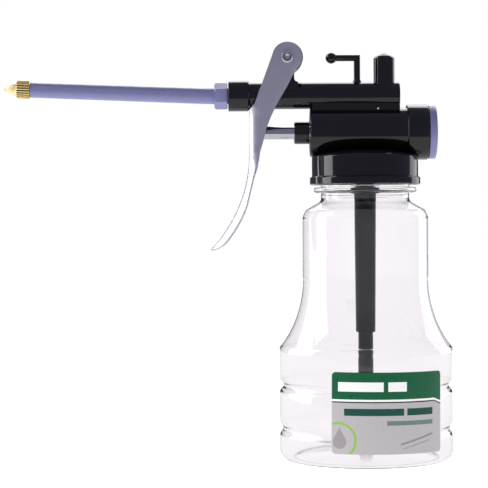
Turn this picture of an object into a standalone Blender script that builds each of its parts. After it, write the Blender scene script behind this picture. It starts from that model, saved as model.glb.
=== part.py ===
"""Hand-pump oil can: a clear blown bottle with a screw-on pump head, a folded
sheet-steel trigger, a sprung plunger and a long spout with a brass nozzle.

Metres, +Z up. The spout points along -X, and the label faces -Y. The sizes below
are measured from the bottle's axis and the plane of its foot. The whole can hangs
on an empty that brings the frame's origin under the middle of its length.
"""
import math

import bmesh
import bpy
from mathutils import Matrix, Vector

# Place of the bottle's axis in the frame
BOTTLE_AXIS_X = 0.0547

# General fits
SEAT_GAP = 0.0003
RUNNING_GAP = 0.0002
MERGE = 0.00001
CUT_PAST = 0.002
EDGE = 0.0004
ROUND_STEPS = 24
FINE_STEPS = 32
BALL_SEGMENTS = 12

# Bottle, from the foot up
BOTTLE_WALL = 0.0009
BOTTLE_STEPS = 30
BODY_RADIUS = 0.0346
BODY_TOP_HEIGHT = 0.0448
BODY_TOP_EDGE = 0.0016
UPPER_RADIUS = 0.0250
FLARE_LENGTH = 0.0272
UPPER_LENGTH = 0.0260
SHOULDER_RISE = 0.0052
NECK_RADIUS = 0.0176
NECK_STRAIGHT = 0.0035
CARRY_RING_RADIUS = 0.0204
CARRY_RING_THICKNESS = 0.0019
NECK_ENGAGEMENT = 0.0087
BASE_CORNER = 0.0042
FOOT_RING_WIDTH = 0.0022
PUSH_UP_HEIGHT = 0.0045
GROOVE_HEIGHTS = (0.0300, 0.0129)
GROOVE_DEPTHS = (0.0016, 0.0012)
GROOVE_HALF_WIDTH = 0.0030

# Label on the bottle's front
LABEL_LOW_HEIGHT = 0.0060
LABEL_HEIGHT = 0.0313
LABEL_START_ANGLE = math.radians(-25.6)
LABEL_END_ANGLE = math.radians(50.5)
LABEL_CORNER = 0.0015
LABEL_THICKNESS = 0.00022
LABEL_COLUMNS = 14

# Skirt and dome of the pump head
SKIRT_CLEARANCE = 0.0012
SKIRT_LENGTH = 0.0111
SKIRT_RADIUS = 0.0212
SKIRT_BAND_RADIUS = 0.0220
SKIRT_BAND_HEIGHT = 0.0028
THREAD_DEPTH = 0.0009
DOME_SINK = 0.0006
DOME_REACH = 0.0216
DOME_RISE = 0.0040
GASKET_THICKNESS = 0.0012
GASKET_INNER_RADIUS = 0.0145

# Pump cylinder
PUMP_RADIUS = 0.0097
PUMP_BORE_RADIUS = 0.0070
PUMP_FRONT_X = -0.0219
PUMP_FRONT_WALL = 0.0069
REAR_COLLAR_X = 0.0167
REAR_COLLAR_RADIUS = 0.0110
REAR_COLLAR_LENGTH = 0.0083
END_CAP_BORE_RADIUS = 0.0090
END_CAP_BORE_DEPTH = 0.0071

# Trigger's pivot and place, over the barrel
PIVOT_X = -0.0310
PIVOT_RISE = 0.01505
TRIGGER_REACH = 0.0152

# Discharge barrel above the pump
BARREL_RADIUS = 0.0053
BARREL_SINK = 0.0002
BARREL_END_X = 0.0139
BARREL_END_WALL = 0.0029
BARREL_END_ROUND = 0.0010
FRONT_COLLAR_RADIUS = 0.0061
FRONT_COLLAR_LENGTH = 0.0079
COLLAR_CLEARANCE = 0.0004
BARREL_PASSAGE_RADIUS = 0.0013
VALVE_BORE_RADIUS = 0.0023
VALVE_BORE_LENGTH = 0.0105
TUBE_SOCKET_DEPTH = 0.0130
NUT_BORE_DEPTH = 0.0075
WEB_HALF_THICKNESS = 0.0042
WEB_HOLE_RADIUS = 0.0004
WEB_HOLE_X = 0.0052
WEB_HOLE_RISE = 0.0093
OUTLET_X = 0.0090
OUTLET_RADIUS = 0.0012

# Ear and pin of the trigger
EAR_RADIUS = 0.0061
EAR_SHIFT = 0.0002
EAR_HALF_THICKNESS = 0.0052
EAR_BACK_REACH = 0.0026
EAR_ROOT_FILLET = 0.0015
PIN_RADIUS = 0.0015
PIN_HEAD_RADIUS = 0.0024
PIN_HEAD_THICKNESS = 0.0010
PIN_HEAD_ROUND = 0.0005
PIN_DISH_RADIUS = 0.0014
PIN_DISH_DEPTH = 0.0005

# Hook and post on the barrel
HOOK_X = -0.0030
HOOK_RADIUS = 0.00128
HOOK_ARM_RISE = 0.0150
HOOK_ARM_LENGTH = 0.0103
HOOK_CORNER = 0.0013
HOOK_BALL_RADIUS = 0.00225
HOOK_FOOT_RADIUS = 0.0019
HOOK_FOOT_HEIGHT = 0.0011
POST_X = 0.0078
POST_RADIUS = 0.00416
POST_SHOULDER_RISE = 0.0154
POST_CONE_HEIGHT = 0.0016
POST_TIP_RADIUS = 0.0006

# Trigger, folded from one sheet. Drops are measured down from the pivot, reaches along +X.
SHEET = 0.0009
TRIGGER_HALF_WIDTH = 0.0067
TRIGGER_BEND = 0.0036
CHEEK_HEAD_RADIUS = 0.00595
WEB_TOP_CLEARANCE = 0.0009
WEB_TOP_RISE = 0.0028
BLADE_START_DROP = 0.03745
BLADE_CURVE_RADIUS = 0.0560
BLADE_TURN = math.radians(43.95)
BLADE_DISH_RADIUS = 0.0085
BLADE_TIP_HALF_WIDTH = 0.0018
CHEEK_FRONT = ((-0.0018, -0.0056), (0.0185, -0.0130))
CHEEK_BACK = ((0.0057, 0.0030), (0.0119, -0.0002), (0.0187, -0.0042), (0.0213, -0.0056),
              (0.0272, -0.0080), (0.0325, -0.0094), (0.03745, -0.0109))
BLADE_DEPTHS = ((0.0, 0.0043), (5.6, 0.0034), (9.0, 0.0025), (12.3, 0.0021),
                (17.7, 0.00225), (22.5, 0.0028), (29.0, 0.0029), (44.0, 0.0025))

# Plunger
ROD_RADIUS = 0.0026
ROD_TAIL_RADIUS = 0.0015
ROD_TAIL_LENGTH = 0.0030
PISTON_LENGTH = 0.0040
PISTON_CLEARANCE = 0.0003
PISTON_BOSS_RADIUS = 0.0036
PISTON_BOSS_LENGTH = 0.0022
PISTON_RING_WIDTH = 0.0014
PISTON_GROOVE_DEPTH = 0.0014
RETURN_WIRE_RADIUS = 0.00045
RETURN_COIL_RADIUS = 0.0046
RETURN_TURNS = 6.5

# Gland round the rod
GLAND_RADIUS = 0.0045
GLAND_LENGTH = 0.0063
GLAND_SHANK_RADIUS = 0.0036
GLAND_BORE_DEPTH = 0.0057
ROD_SEAL_LENGTH = 0.0015

# Rear end cap
END_CAP_RADIUS = 0.0106
END_CAP_FLANGE = 0.0026
END_CAP_DOME = 0.0009
END_SEAL_LENGTH = 0.0010
SPRING_POCKET_RADIUS = 0.0055
SPRING_POCKET_DEPTH = 0.0022

# Spout
NUT_CORNER_RADIUS = 0.00525
NUT_TURN = math.radians(30.0)
NUT_LENGTH = 0.0052
NUT_SHANK_RADIUS = 0.0043
FERRULE_LENGTH = 0.0015
TUBE_ROOT_RADIUS = 0.00315
TUBE_TIP_RADIUS = 0.0030
TUBE_BORE_RADIUS = 0.0019
TUBE_SHOWING = 0.0736
TUBE_RISE_BLEND = 0.0060
TUBE_RISE_ANGLE = math.radians(2.3)
NOZZLE_COLLAR_LENGTH = 0.0054
NOZZLE_COLLAR_RADIUS = 0.00365
NOZZLE_KNURL_COUNT = 22
NOZZLE_KNURL_DEPTH = 0.00028
NOZZLE_CONE_RADIUS = 0.0028
NOZZLE_CONE_LENGTH = 0.0048
NOZZLE_TIP_RADIUS = 0.0007
NOZZLE_ORIFICE_RADIUS = 0.0004
NOZZLE_SPIGOT_LENGTH = 0.0050

# Discharge valve
OUTLET_BALL_RADIUS = 0.0019
OUTLET_WIRE_RADIUS = 0.00022
OUTLET_COIL_RADIUS = 0.0016
OUTLET_TURNS = 5.0

# Suction side, from the bottle's floor up
STRAINER_FLOOR_GAP = 0.0036
STRAINER_LENGTH = 0.0340
STRAINER_RADIUS = 0.00304
STRAINER_WALL = 0.0009
STRAINER_SPIGOT_LENGTH = 0.0040
STRAINER_SLOT_WIDTH = 0.0010
STRAINER_SLOT_LENGTH = 0.0110
STRAINER_SLOT_LIFT = 0.0030
FOOT_RING_THICKNESS = 0.0004
DIP_TUBE_RADIUS = 0.00295
DIP_TUBE_BORE_RADIUS = 0.0020
DIP_TUBE_SHOWING = 0.0068
DIP_TUBE_SOCKET_DEPTH = 0.0100
STEM_SOCKET_RADIUS = 0.0039
STEM_BOSS_RADIUS = 0.0062
STEM_FLANGE_RADIUS = 0.0058
STEM_FLANGE_THICKNESS = 0.0016
STEM_TOP_RADIUS = 0.0044
STEM_LOW_RADIUS = 0.0039
STEM_BORE_RADIUS = 0.0014
WASHER_THICKNESS = 0.0004
INLET_BALL_RADIUS = 0.0021
INLET_CHAMBER_RADIUS = 0.0025
INLET_CHAMBER_HEIGHT = 0.0051
INLET_PASSAGE_RADIUS = 0.0011
INLET_PASSAGE_LENGTH = 0.0012

# Heights that follow, from the foot up
FLARE_TOP_HEIGHT = BODY_TOP_HEIGHT + FLARE_LENGTH
SHOULDER_LOW_HEIGHT = FLARE_TOP_HEIGHT + UPPER_LENGTH
SHOULDER_TOP_HEIGHT = SHOULDER_LOW_HEIGHT + SHOULDER_RISE
CARRY_RING_HEIGHT = SHOULDER_TOP_HEIGHT + NECK_STRAIGHT
SKIRT_LOW_HEIGHT = CARRY_RING_HEIGHT + CARRY_RING_THICKNESS + SKIRT_CLEARANCE
NECK_TOP_HEIGHT = SKIRT_LOW_HEIGHT + NECK_ENGAGEMENT
CEILING_HEIGHT = NECK_TOP_HEIGHT + GASKET_THICKNESS + 2 * SEAT_GAP
SKIRT_EDGE_HEIGHT = SKIRT_LOW_HEIGHT + SKIRT_LENGTH
DOME_BASE_HEIGHT = SKIRT_EDGE_HEIGHT - DOME_SINK
PUMP_AXIS_HEIGHT = SKIRT_EDGE_HEIGHT + PUMP_RADIUS
BARREL_AXIS_HEIGHT = PUMP_AXIS_HEIGHT + PUMP_RADIUS + BARREL_RADIUS - BARREL_SINK
PIVOT_HEIGHT = BARREL_AXIS_HEIGHT + PIVOT_RISE
WEB_TOP_HEIGHT = BARREL_AXIS_HEIGHT - BARREL_RADIUS - WEB_TOP_CLEARANCE
BLADE_START_HEIGHT = PIVOT_HEIGHT - BLADE_START_DROP
INLET_CHAMBER_TOP_HEIGHT = PUMP_AXIS_HEIGHT - PUMP_BORE_RADIUS - INLET_PASSAGE_LENGTH
STEM_SPIGOT_TOP_HEIGHT = INLET_CHAMBER_TOP_HEIGHT - INLET_CHAMBER_HEIGHT - SEAT_GAP
STEM_FLANGE_TOP_HEIGHT = SKIRT_LOW_HEIGHT - WASHER_THICKNESS - 2 * SEAT_GAP
STRAINER_LOW_HEIGHT = BOTTLE_WALL + PUSH_UP_HEIGHT + STRAINER_FLOOR_GAP
DIP_TUBE_LOW_HEIGHT = STRAINER_LOW_HEIGHT + STRAINER_LENGTH + FOOT_RING_THICKNESS + 2 * SEAT_GAP
STEM_LOW_HEIGHT = DIP_TUBE_LOW_HEIGHT + DIP_TUBE_SHOWING

# Places along the barrel that follow, from the pivot to the spout's tip
TRIGGER_FRONT_X = PIVOT_X - TRIGGER_REACH
FRONT_COLLAR_X = TRIGGER_FRONT_X - COLLAR_CLEARANCE
FRONT_COLLAR_END_X = FRONT_COLLAR_X - FRONT_COLLAR_LENGTH
TUBE_STOP_X = FRONT_COLLAR_END_X + TUBE_SOCKET_DEPTH
VALVE_SEAT_X = TUBE_STOP_X + VALVE_BORE_LENGTH
NUT_SEAT_X = FRONT_COLLAR_END_X - SEAT_GAP
NUT_FRONT_X = NUT_SEAT_X - NUT_LENGTH
TUBE_TIP_X = NUT_FRONT_X - TUBE_SHOWING

# Places along the pump that follow, from the trigger to the end cap
ROD_TIP_X = TRIGGER_FRONT_X + SHEET + SEAT_GAP
GLAND_SEAT_X = PUMP_FRONT_X - SEAT_GAP
GLAND_FRONT_X = PUMP_FRONT_X - GLAND_LENGTH
PUMP_BORE_FRONT_X = PUMP_FRONT_X + PUMP_FRONT_WALL
PISTON_FRONT_X = PUMP_BORE_FRONT_X + SEAT_GAP
PISTON_REAR_X = PISTON_FRONT_X + PISTON_LENGTH
REAR_COLLAR_END_X = REAR_COLLAR_X + REAR_COLLAR_LENGTH
END_CAP_BORE_X = REAR_COLLAR_END_X - END_CAP_BORE_DEPTH

# Radii that follow
SKIRT_BORE_RADIUS = NECK_RADIUS + THREAD_DEPTH + SEAT_GAP
PISTON_RADIUS = PUMP_BORE_RADIUS - PISTON_CLEARANCE


def clear_scene():
    """Remove every object of the scene."""
    for obj in list(bpy.data.objects):
        bpy.data.objects.remove(obj, do_unlink=True)


def new_collection(name):
    """Return a new collection linked to the scene."""
    collection = bpy.data.collections.new(name)
    bpy.context.scene.collection.children.link(collection)
    return collection


clear_scene()
PARTS = new_collection("oil_can")
CUTTERS = new_collection("cutters")
CAN = bpy.data.objects.new("can", None)
PARTS.objects.link(CAN)
CAN.location = (BOTTLE_AXIS_X, 0.0, 0.0)


def new_material(name, color, roughness, metallic=0.0, alpha=1.0):
    """Return a Principled material."""
    material = bpy.data.materials.new(name)
    material.use_nodes = True
    shader = material.node_tree.nodes["Principled BSDF"]
    shader.inputs["Base Color"].default_value = (*color, 1.0)
    shader.inputs["Roughness"].default_value = roughness
    shader.inputs["Metallic"].default_value = metallic
    shader.inputs["Alpha"].default_value = alpha
    return material


BLACK_PLASTIC = (0.016, 0.016, 0.019)
LILAC_PLASTIC = (0.24, 0.24, 0.42)
STEEL = (0.55, 0.55, 0.58)
BRASS = (0.78, 0.55, 0.24)
RUBBER = (0.02, 0.02, 0.02)
WHITE_PLASTIC = (0.86, 0.86, 0.84)


def part(name, mesh, color, roughness, metallic=0.0, alpha=1.0):
    """Make a mesh a sub-part of the oil can, with its own material."""
    obj = bpy.data.objects.new(name, mesh)
    PARTS.objects.link(obj)
    obj.parent = CAN
    mesh.materials.clear()
    mesh.materials.append(new_material(name, color, roughness, metallic, alpha))
    return obj


def tool(name, mesh):
    """Make a mesh a hidden shape that is cut from or joined to a sub-part."""
    obj = bpy.data.objects.new(name, mesh)
    CUTTERS.objects.link(obj)
    obj.parent = CAN
    obj.hide_render = True
    obj.display_type = "WIRE"
    return obj


def combine(obj, other, operation):
    """Join another shape to an object, or cut it away."""
    modifier = obj.modifiers.new(other.name, "BOOLEAN")
    modifier.operation = operation
    modifier.solver = "EXACT"
    modifier.object = other


def smooth(mesh, angle=35.0):
    """Shade a mesh smooth apart from its edges."""
    mesh.shade_smooth()
    mesh.set_sharp_from_angle(angle=math.radians(angle))


def arc(center, radius, start, end, count):
    """Points on an arc, angles in degrees, both ends included."""
    points = []
    for i in range(count + 1):
        angle = math.radians(start + (end - start) * i / count)
        points.append((center[0] + radius * math.cos(angle),
                       center[1] + radius * math.sin(angle)))
    return points


def profile_object(name, profile):
    """An object of edges in the XZ plane, from (radius, height) points."""
    edges = [(i, i + 1) for i in range(len(profile) - 1)]
    mesh = bpy.data.meshes.new(name)
    mesh.from_pydata([(r, 0.0, z) for r, z in profile], edges, [])
    return bpy.data.objects.new(name, mesh)


def evaluated_mesh(obj):
    """The mesh of an object with its modifiers applied."""
    bpy.context.view_layer.update()
    graph = bpy.context.evaluated_depsgraph_get()
    return bpy.data.meshes.new_from_object(obj.evaluated_get(graph))


def turned_mesh(name, profile, steps=ROUND_STEPS, axis="Z", at=(0.0, 0.0, 0.0)):
    """Turn a profile about an axis. It runs down its outer side, top to bottom.

    With axis X, the profile's heights are places along +X.
    """
    obj = profile_object(name, profile)
    PARTS.objects.link(obj)
    screw = obj.modifiers.new("turn", "SCREW")
    screw.axis = "Z"
    screw.angle = math.tau
    screw.steps = steps
    screw.render_steps = steps
    screw.use_merge_vertices = True
    screw.merge_threshold = MERGE
    mesh = evaluated_mesh(obj)
    bpy.data.objects.remove(obj, do_unlink=True)
    if axis == "X":
        mesh.transform(Matrix.Rotation(math.pi / 2, 4, "Y"))
    if axis == "Y":
        mesh.transform(Matrix.Rotation(-math.pi / 2, 4, "X"))
    mesh.transform(Matrix.Translation(Vector(at)))
    mesh.name = name
    smooth(mesh)
    return mesh


def tube_profile(outer, inner, top, low):
    """A closed profile of a plain tube or ring."""
    return [(outer, top), (outer, low), (inner, low), (inner, top)]


def rod_profile(*stages):
    """A solid turned profile from (radius, height) corners, top to bottom."""
    return [(0.0, stages[0][1]), *stages, (0.0, stages[-1][1])]


def slab_mesh(name, outline, half_thickness):
    """Extrude a flat outline, given as (x, z) points, to both sides of the XZ plane."""
    curve = bpy.data.curves.new(name, "CURVE")
    curve.dimensions = "2D"
    curve.fill_mode = "BOTH"
    curve.extrude = half_thickness
    spline = curve.splines.new("POLY")
    spline.points.add(len(outline) - 1)
    for point, (x, z) in zip(spline.points, outline):
        point.co = (x, z, 0.0, 1.0)
    spline.use_cyclic_u = True
    return curve_mesh(name, curve, Matrix.Rotation(math.pi / 2, 4, "X"))


def wire_mesh(name, points, radius, resolution=2):
    """A round wire through points, with filled ends."""
    curve = bpy.data.curves.new(name, "CURVE")
    curve.dimensions = "3D"
    curve.bevel_depth = radius
    curve.bevel_resolution = resolution
    curve.use_fill_caps = True
    spline = curve.splines.new("POLY")
    spline.points.add(len(points) - 1)
    for point, place in zip(spline.points, points):
        point.co = (*place, 1.0)
    return curve_mesh(name, curve, Matrix.Identity(4))


def curve_mesh(name, curve, matrix):
    """Make a curve a closed mesh, and remove the curve."""
    obj = bpy.data.objects.new(name, curve)
    PARTS.objects.link(obj)
    mesh = evaluated_mesh(obj)
    bpy.data.objects.remove(obj, do_unlink=True)
    shape = bmesh.new()
    shape.from_mesh(mesh)
    bmesh.ops.remove_doubles(shape, verts=shape.verts, dist=MERGE)
    shape.to_mesh(mesh)
    shape.free()
    mesh.transform(matrix)
    mesh.name = name
    smooth(mesh)
    return mesh


def ball_mesh(name, radius, at):
    """A ball."""
    shape = bmesh.new()
    bmesh.ops.create_uvsphere(shape, u_segments=BALL_SEGMENTS, v_segments=BALL_SEGMENTS * 2 // 3,
                              radius=radius, matrix=Matrix.Translation(Vector(at)))
    mesh = bpy.data.meshes.new(name)
    shape.to_mesh(mesh)
    shape.free()
    smooth(mesh)
    return mesh


def box_mesh(name, low, high):
    """A box between two corners."""
    size = Vector(high) - Vector(low)
    place = Matrix.Translation((Vector(high) + Vector(low)) / 2) @ Matrix.Diagonal((*size, 1.0))
    shape = bmesh.new()
    bmesh.ops.create_cube(shape, size=1.0, matrix=place)
    mesh = bpy.data.meshes.new(name)
    shape.to_mesh(mesh)
    shape.free()
    return mesh


def coil_points(radius, start_x, end_x, turns, per_turn, height):
    """Points of a helix about a line along X, with a flat turn at each end."""
    count = round(turns * per_turn)
    points = []
    for i in range(count + 1):
        turn = i / per_turn
        share = min(max((turn - 0.75) / (turns - 1.5), 0.0), 1.0)
        angle = math.tau * turn
        points.append((start_x + (end_x - start_x) * share,
                       radius * math.cos(angle),
                       height + radius * math.sin(angle)))
    return points


def spaced_coil(radius, wire, start_x, end_x, turns, per_turn, height):
    """A helix whose end turns lie a wire's width from the next turn."""
    points = coil_points(radius, start_x, end_x, turns, per_turn, height)
    pitch = 2 * wire + SEAT_GAP
    spread = []
    for i, (x, y, z) in enumerate(points):
        turn = i / per_turn
        lead = min(turn, 0.75) * pitch
        tail = max(turn - (turns - 0.75), 0.0) * pitch
        spread.append((x + lead + tail, y, z))
    return spread


# Bottle

def groove_points(height, depth, count=4):
    """A rounded groove round the bottle's body, top to bottom."""
    points = []
    for i in range(count + 1):
        share = 2.0 * i / count - 1.0
        dip = depth * (1.0 + math.cos(math.pi * share)) / 2.0
        points.append((BODY_RADIUS - dip, height - share * GROOVE_HALF_WIDTH))
    return points


def flare_points(radius, top_height, count=7):
    """The hollow curve from the upper body out to the wide body, top to bottom."""
    reach = BODY_RADIUS - UPPER_RADIUS
    drop = FLARE_TOP_HEIGHT - BODY_TOP_HEIGHT
    turn = 2.0 * math.atan(reach / drop)
    sweep = drop / math.sin(turn)
    points = []
    for i in range(count + 1):
        angle = turn * i / count
        points.append((radius + sweep * (1.0 - math.cos(angle)), top_height - sweep * math.sin(angle)))
    return points


def shell_points():
    """The bottle's outer outline from the neck down to the foot, without the carrying ring."""
    points = [(NECK_RADIUS, SHOULDER_TOP_HEIGHT)]
    rise = SHOULDER_TOP_HEIGHT - SHOULDER_LOW_HEIGHT
    reach = UPPER_RADIUS - NECK_RADIUS
    points.append((NECK_RADIUS + reach * 0.84, SHOULDER_TOP_HEIGHT - rise * 0.70))
    points.append((NECK_RADIUS + reach * 0.97, SHOULDER_TOP_HEIGHT - rise * 0.88))
    points.append((UPPER_RADIUS, SHOULDER_LOW_HEIGHT - rise * 0.20))
    points += flare_points(UPPER_RADIUS, FLARE_TOP_HEIGHT)
    points.append((BODY_RADIUS, BODY_TOP_HEIGHT - BODY_TOP_EDGE))
    for height, depth in zip(GROOVE_HEIGHTS, GROOVE_DEPTHS):
        points += groove_points(height, depth)
    corner = (BODY_RADIUS - BASE_CORNER, BASE_CORNER)
    points += arc(corner, BASE_CORNER, 0, -90, 4)
    return points


def inward(points, distance):
    """Offset an outline towards the axis and upwards by a wall's thickness."""
    moved = []
    for i, (r, z) in enumerate(points):
        before = points[max(i - 1, 0)]
        after = points[min(i + 1, len(points) - 1)]
        run = Vector((after[0] - before[0], after[1] - before[1])).normalized()
        moved.append((r + run.y * distance, z - run.x * distance))
    return moved


def push_up_points(radius, lift, wall=0.0, count=4):
    """The bottle's concave base from the foot ring to the axis."""
    points = []
    for i in range(count + 1):
        angle = math.pi / 2 * i / count
        points.append((radius * math.cos(angle), wall + lift * math.sin(angle)))
    points[-1] = (0.0, wall + lift)
    return points


def make_bottle():
    """The blown bottle: neck, carrying ring, waist, two grooves and a concave base."""
    shell = shell_points()
    foot_radius = BODY_RADIUS - BASE_CORNER - FOOT_RING_WIDTH
    ring_top = CARRY_RING_HEIGHT + CARRY_RING_THICKNESS
    outer = [(NECK_RADIUS, NECK_TOP_HEIGHT)]
    outer += [(NECK_RADIUS, ring_top), (CARRY_RING_RADIUS, ring_top)]
    outer += [(CARRY_RING_RADIUS, CARRY_RING_HEIGHT), (NECK_RADIUS, CARRY_RING_HEIGHT)]
    outer += shell
    outer += push_up_points(foot_radius, PUSH_UP_HEIGHT)
    inner = inward(shell, BOTTLE_WALL)
    inner_foot = inner[-1][0] - FOOT_RING_WIDTH / 2
    inner += push_up_points(inner_foot, PUSH_UP_HEIGHT, BOTTLE_WALL)
    inner.insert(0, (NECK_RADIUS - BOTTLE_WALL, NECK_TOP_HEIGHT))
    profile = outer + list(reversed(inner))
    mesh = turned_mesh("bottle", profile + [profile[0]], BOTTLE_STEPS)
    part("bottle", mesh, (0.93, 0.93, 0.95), 0.08, alpha=0.3)


def make_label():
    """A thin curved label with rounded corners, stuck on the bottle's front."""
    radius = BODY_RADIUS + LABEL_THICKNESS + SEAT_GAP
    half_height = LABEL_HEIGHT / 2
    middle = LABEL_LOW_HEIGHT + half_height
    width = radius * (LABEL_END_ANGLE - LABEL_START_ANGLE)
    shape = bmesh.new()
    flat = Matrix.Diagonal((width / 2, half_height, 1.0, 1.0))
    bmesh.ops.create_grid(shape, x_segments=1, y_segments=1, size=1.0, matrix=flat)
    bmesh.ops.bevel(shape, geom=list(shape.verts), offset=LABEL_CORNER, segments=3,
                    affect="VERTICES", profile=0.5)
    for i in range(1, LABEL_COLUMNS):
        place = width * (i / LABEL_COLUMNS - 0.5)
        bmesh.ops.bisect_plane(shape, geom=shape.verts[:] + shape.edges[:] + shape.faces[:],
                               plane_co=(place, 0, 0), plane_no=(1, 0, 0))
    for vert in shape.verts:
        angle = LABEL_START_ANGLE + (vert.co.x + width / 2) / radius
        height = middle + vert.co.y
        vert.co = (radius * math.sin(angle), -radius * math.cos(angle), height)
    mesh = bpy.data.meshes.new("label")
    shape.to_mesh(mesh)
    shape.free()
    obj = part("label", mesh, (0.52, 0.50, 0.53), 0.4)
    thicken = obj.modifiers.new("thickness", "SOLIDIFY")
    thicken.thickness = LABEL_THICKNESS
    thicken.offset = -1.0


# Pump head

def dome_profile():
    """The skirt's outside and the dome over it, from the axis outwards and down."""
    points = [(0.0, DOME_BASE_HEIGHT + DOME_RISE)]
    for angle in (70, 52, 40, 30, 22, 15):
        turn = math.radians(angle)
        points.append((DOME_REACH * math.cos(turn), DOME_BASE_HEIGHT + DOME_RISE * math.sin(turn)))
    points.append((SKIRT_RADIUS, SKIRT_EDGE_HEIGHT))
    band_top = SKIRT_LOW_HEIGHT + SKIRT_BAND_HEIGHT
    points.append((SKIRT_RADIUS, band_top))
    points.append((SKIRT_BAND_RADIUS, band_top - EDGE))
    points.append((SKIRT_BAND_RADIUS, SKIRT_LOW_HEIGHT))
    points.append((0.0, SKIRT_LOW_HEIGHT))
    return points


def ear_outline():
    """The ear that carries the trigger's pin, down into the barrel."""
    root = BARREL_AXIS_HEIGHT + BARREL_RADIUS * 0.4
    top = BARREL_AXIS_HEIGHT + BARREL_RADIUS
    end = math.degrees(math.atan2(-math.sqrt(EAR_RADIUS ** 2 - EAR_BACK_REACH ** 2), EAR_BACK_REACH))
    back = PIVOT_X + EAR_SHIFT + EAR_BACK_REACH
    middle = PIVOT_X + EAR_SHIFT
    points = [(middle - EAR_RADIUS, root)]
    points += arc((middle, PIVOT_HEIGHT), EAR_RADIUS, 180, end, 14)
    fillet_center = (back + EAR_ROOT_FILLET, top + EAR_ROOT_FILLET)
    points += arc(fillet_center, EAR_ROOT_FILLET, 180, 270, 3)
    points.append((back + EAR_ROOT_FILLET, root))
    return points


def make_ear():
    """The ear as a slab across the barrel."""
    return tool("ear", slab_mesh("ear", ear_outline(), EAR_HALF_THICKNESS))


def make_hook():
    """The bent hook with its ball end, standing on the barrel."""
    root = BARREL_AXIS_HEIGHT + BARREL_RADIUS * 0.5
    arm_height = BARREL_AXIS_HEIGHT + HOOK_ARM_RISE
    bend = arc((HOOK_X - HOOK_CORNER, arm_height - HOOK_CORNER), HOOK_CORNER, 0, 90, 4)
    end = (HOOK_X - HOOK_ARM_LENGTH, 0.0, arm_height)
    path = [(HOOK_X, 0.0, root)] + [(x, 0.0, z) for x, z in bend] + [end]
    hook = tool("hook", wire_mesh("hook", path, HOOK_RADIUS))
    ball = tool("hook_ball", ball_mesh("hook_ball", HOOK_BALL_RADIUS, end))
    combine(hook, ball, "UNION")
    top = BARREL_AXIS_HEIGHT + BARREL_RADIUS
    foot_profile = rod_profile((HOOK_RADIUS * 0.9, top + HOOK_FOOT_HEIGHT),
                               (HOOK_FOOT_RADIUS, top), (HOOK_FOOT_RADIUS, root))
    foot = tool("hook_foot", turned_mesh("hook_foot", foot_profile, 16, at=(HOOK_X, 0.0, 0.0)))
    combine(hook, foot, "UNION")
    return hook


def make_post():
    """The round post with a conical top, standing on the barrel."""
    root = BARREL_AXIS_HEIGHT + BARREL_RADIUS * 0.2
    shoulder = BARREL_AXIS_HEIGHT + POST_SHOULDER_RISE
    profile = rod_profile((POST_TIP_RADIUS, shoulder + POST_CONE_HEIGHT),
                          (POST_RADIUS, shoulder), (POST_RADIUS, root))
    return tool("post", turned_mesh("post", profile, 24, at=(POST_X, 0.0, 0.0)))


def make_pump_cylinder():
    """The pump cylinder with its rear collar."""
    profile = rod_profile(
        (REAR_COLLAR_RADIUS - EDGE, REAR_COLLAR_END_X), (REAR_COLLAR_RADIUS, REAR_COLLAR_END_X - EDGE),
        (REAR_COLLAR_RADIUS, REAR_COLLAR_X + EDGE), (REAR_COLLAR_RADIUS - EDGE, REAR_COLLAR_X),
        (PUMP_RADIUS, REAR_COLLAR_X), (PUMP_RADIUS, PUMP_FRONT_X + EDGE),
        (PUMP_RADIUS - EDGE, PUMP_FRONT_X))
    mesh = turned_mesh("pump_cylinder", profile, FINE_STEPS, axis="X", at=(0.0, 0.0, PUMP_AXIS_HEIGHT))
    return tool("pump_cylinder", mesh)


def make_barrel():
    """The discharge barrel with its front collar."""
    end = BARREL_END_X - BARREL_END_ROUND
    collar_root = FRONT_COLLAR_X + FRONT_COLLAR_RADIUS - BARREL_RADIUS
    profile = [(0.0, BARREL_END_X)]
    profile += arc((BARREL_RADIUS - BARREL_END_ROUND, end), BARREL_END_ROUND, 90, 0, 3)
    profile += [(BARREL_RADIUS, collar_root), (FRONT_COLLAR_RADIUS, FRONT_COLLAR_X)]
    profile += [(FRONT_COLLAR_RADIUS, FRONT_COLLAR_END_X + EDGE)]
    profile += [(FRONT_COLLAR_RADIUS - EDGE, FRONT_COLLAR_END_X), (0.0, FRONT_COLLAR_END_X)]
    return turned_mesh("pump_housing", profile, ROUND_STEPS, axis="X", at=(0.0, 0.0, BARREL_AXIS_HEIGHT))


def make_pump_bore():
    """The stepped bore through the pump cylinder: end cap, piston, seal and gland."""
    seal_x = GLAND_SEAT_X + GLAND_BORE_DEPTH
    gland_bore = GLAND_SHANK_RADIUS + SEAT_GAP
    profile = rod_profile(
        (END_CAP_BORE_RADIUS, REAR_COLLAR_END_X + CUT_PAST), (END_CAP_BORE_RADIUS, END_CAP_BORE_X),
        (PUMP_BORE_RADIUS, END_CAP_BORE_X), (PUMP_BORE_RADIUS, PUMP_BORE_FRONT_X),
        (ROD_RADIUS + SEAT_GAP, PUMP_BORE_FRONT_X), (ROD_RADIUS + SEAT_GAP, seal_x),
        (gland_bore, seal_x), (gland_bore, PUMP_FRONT_X - CUT_PAST))
    mesh = turned_mesh("pump_bore", profile, ROUND_STEPS, axis="X", at=(0.0, 0.0, PUMP_AXIS_HEIGHT))
    return tool("pump_bore", mesh)


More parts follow.
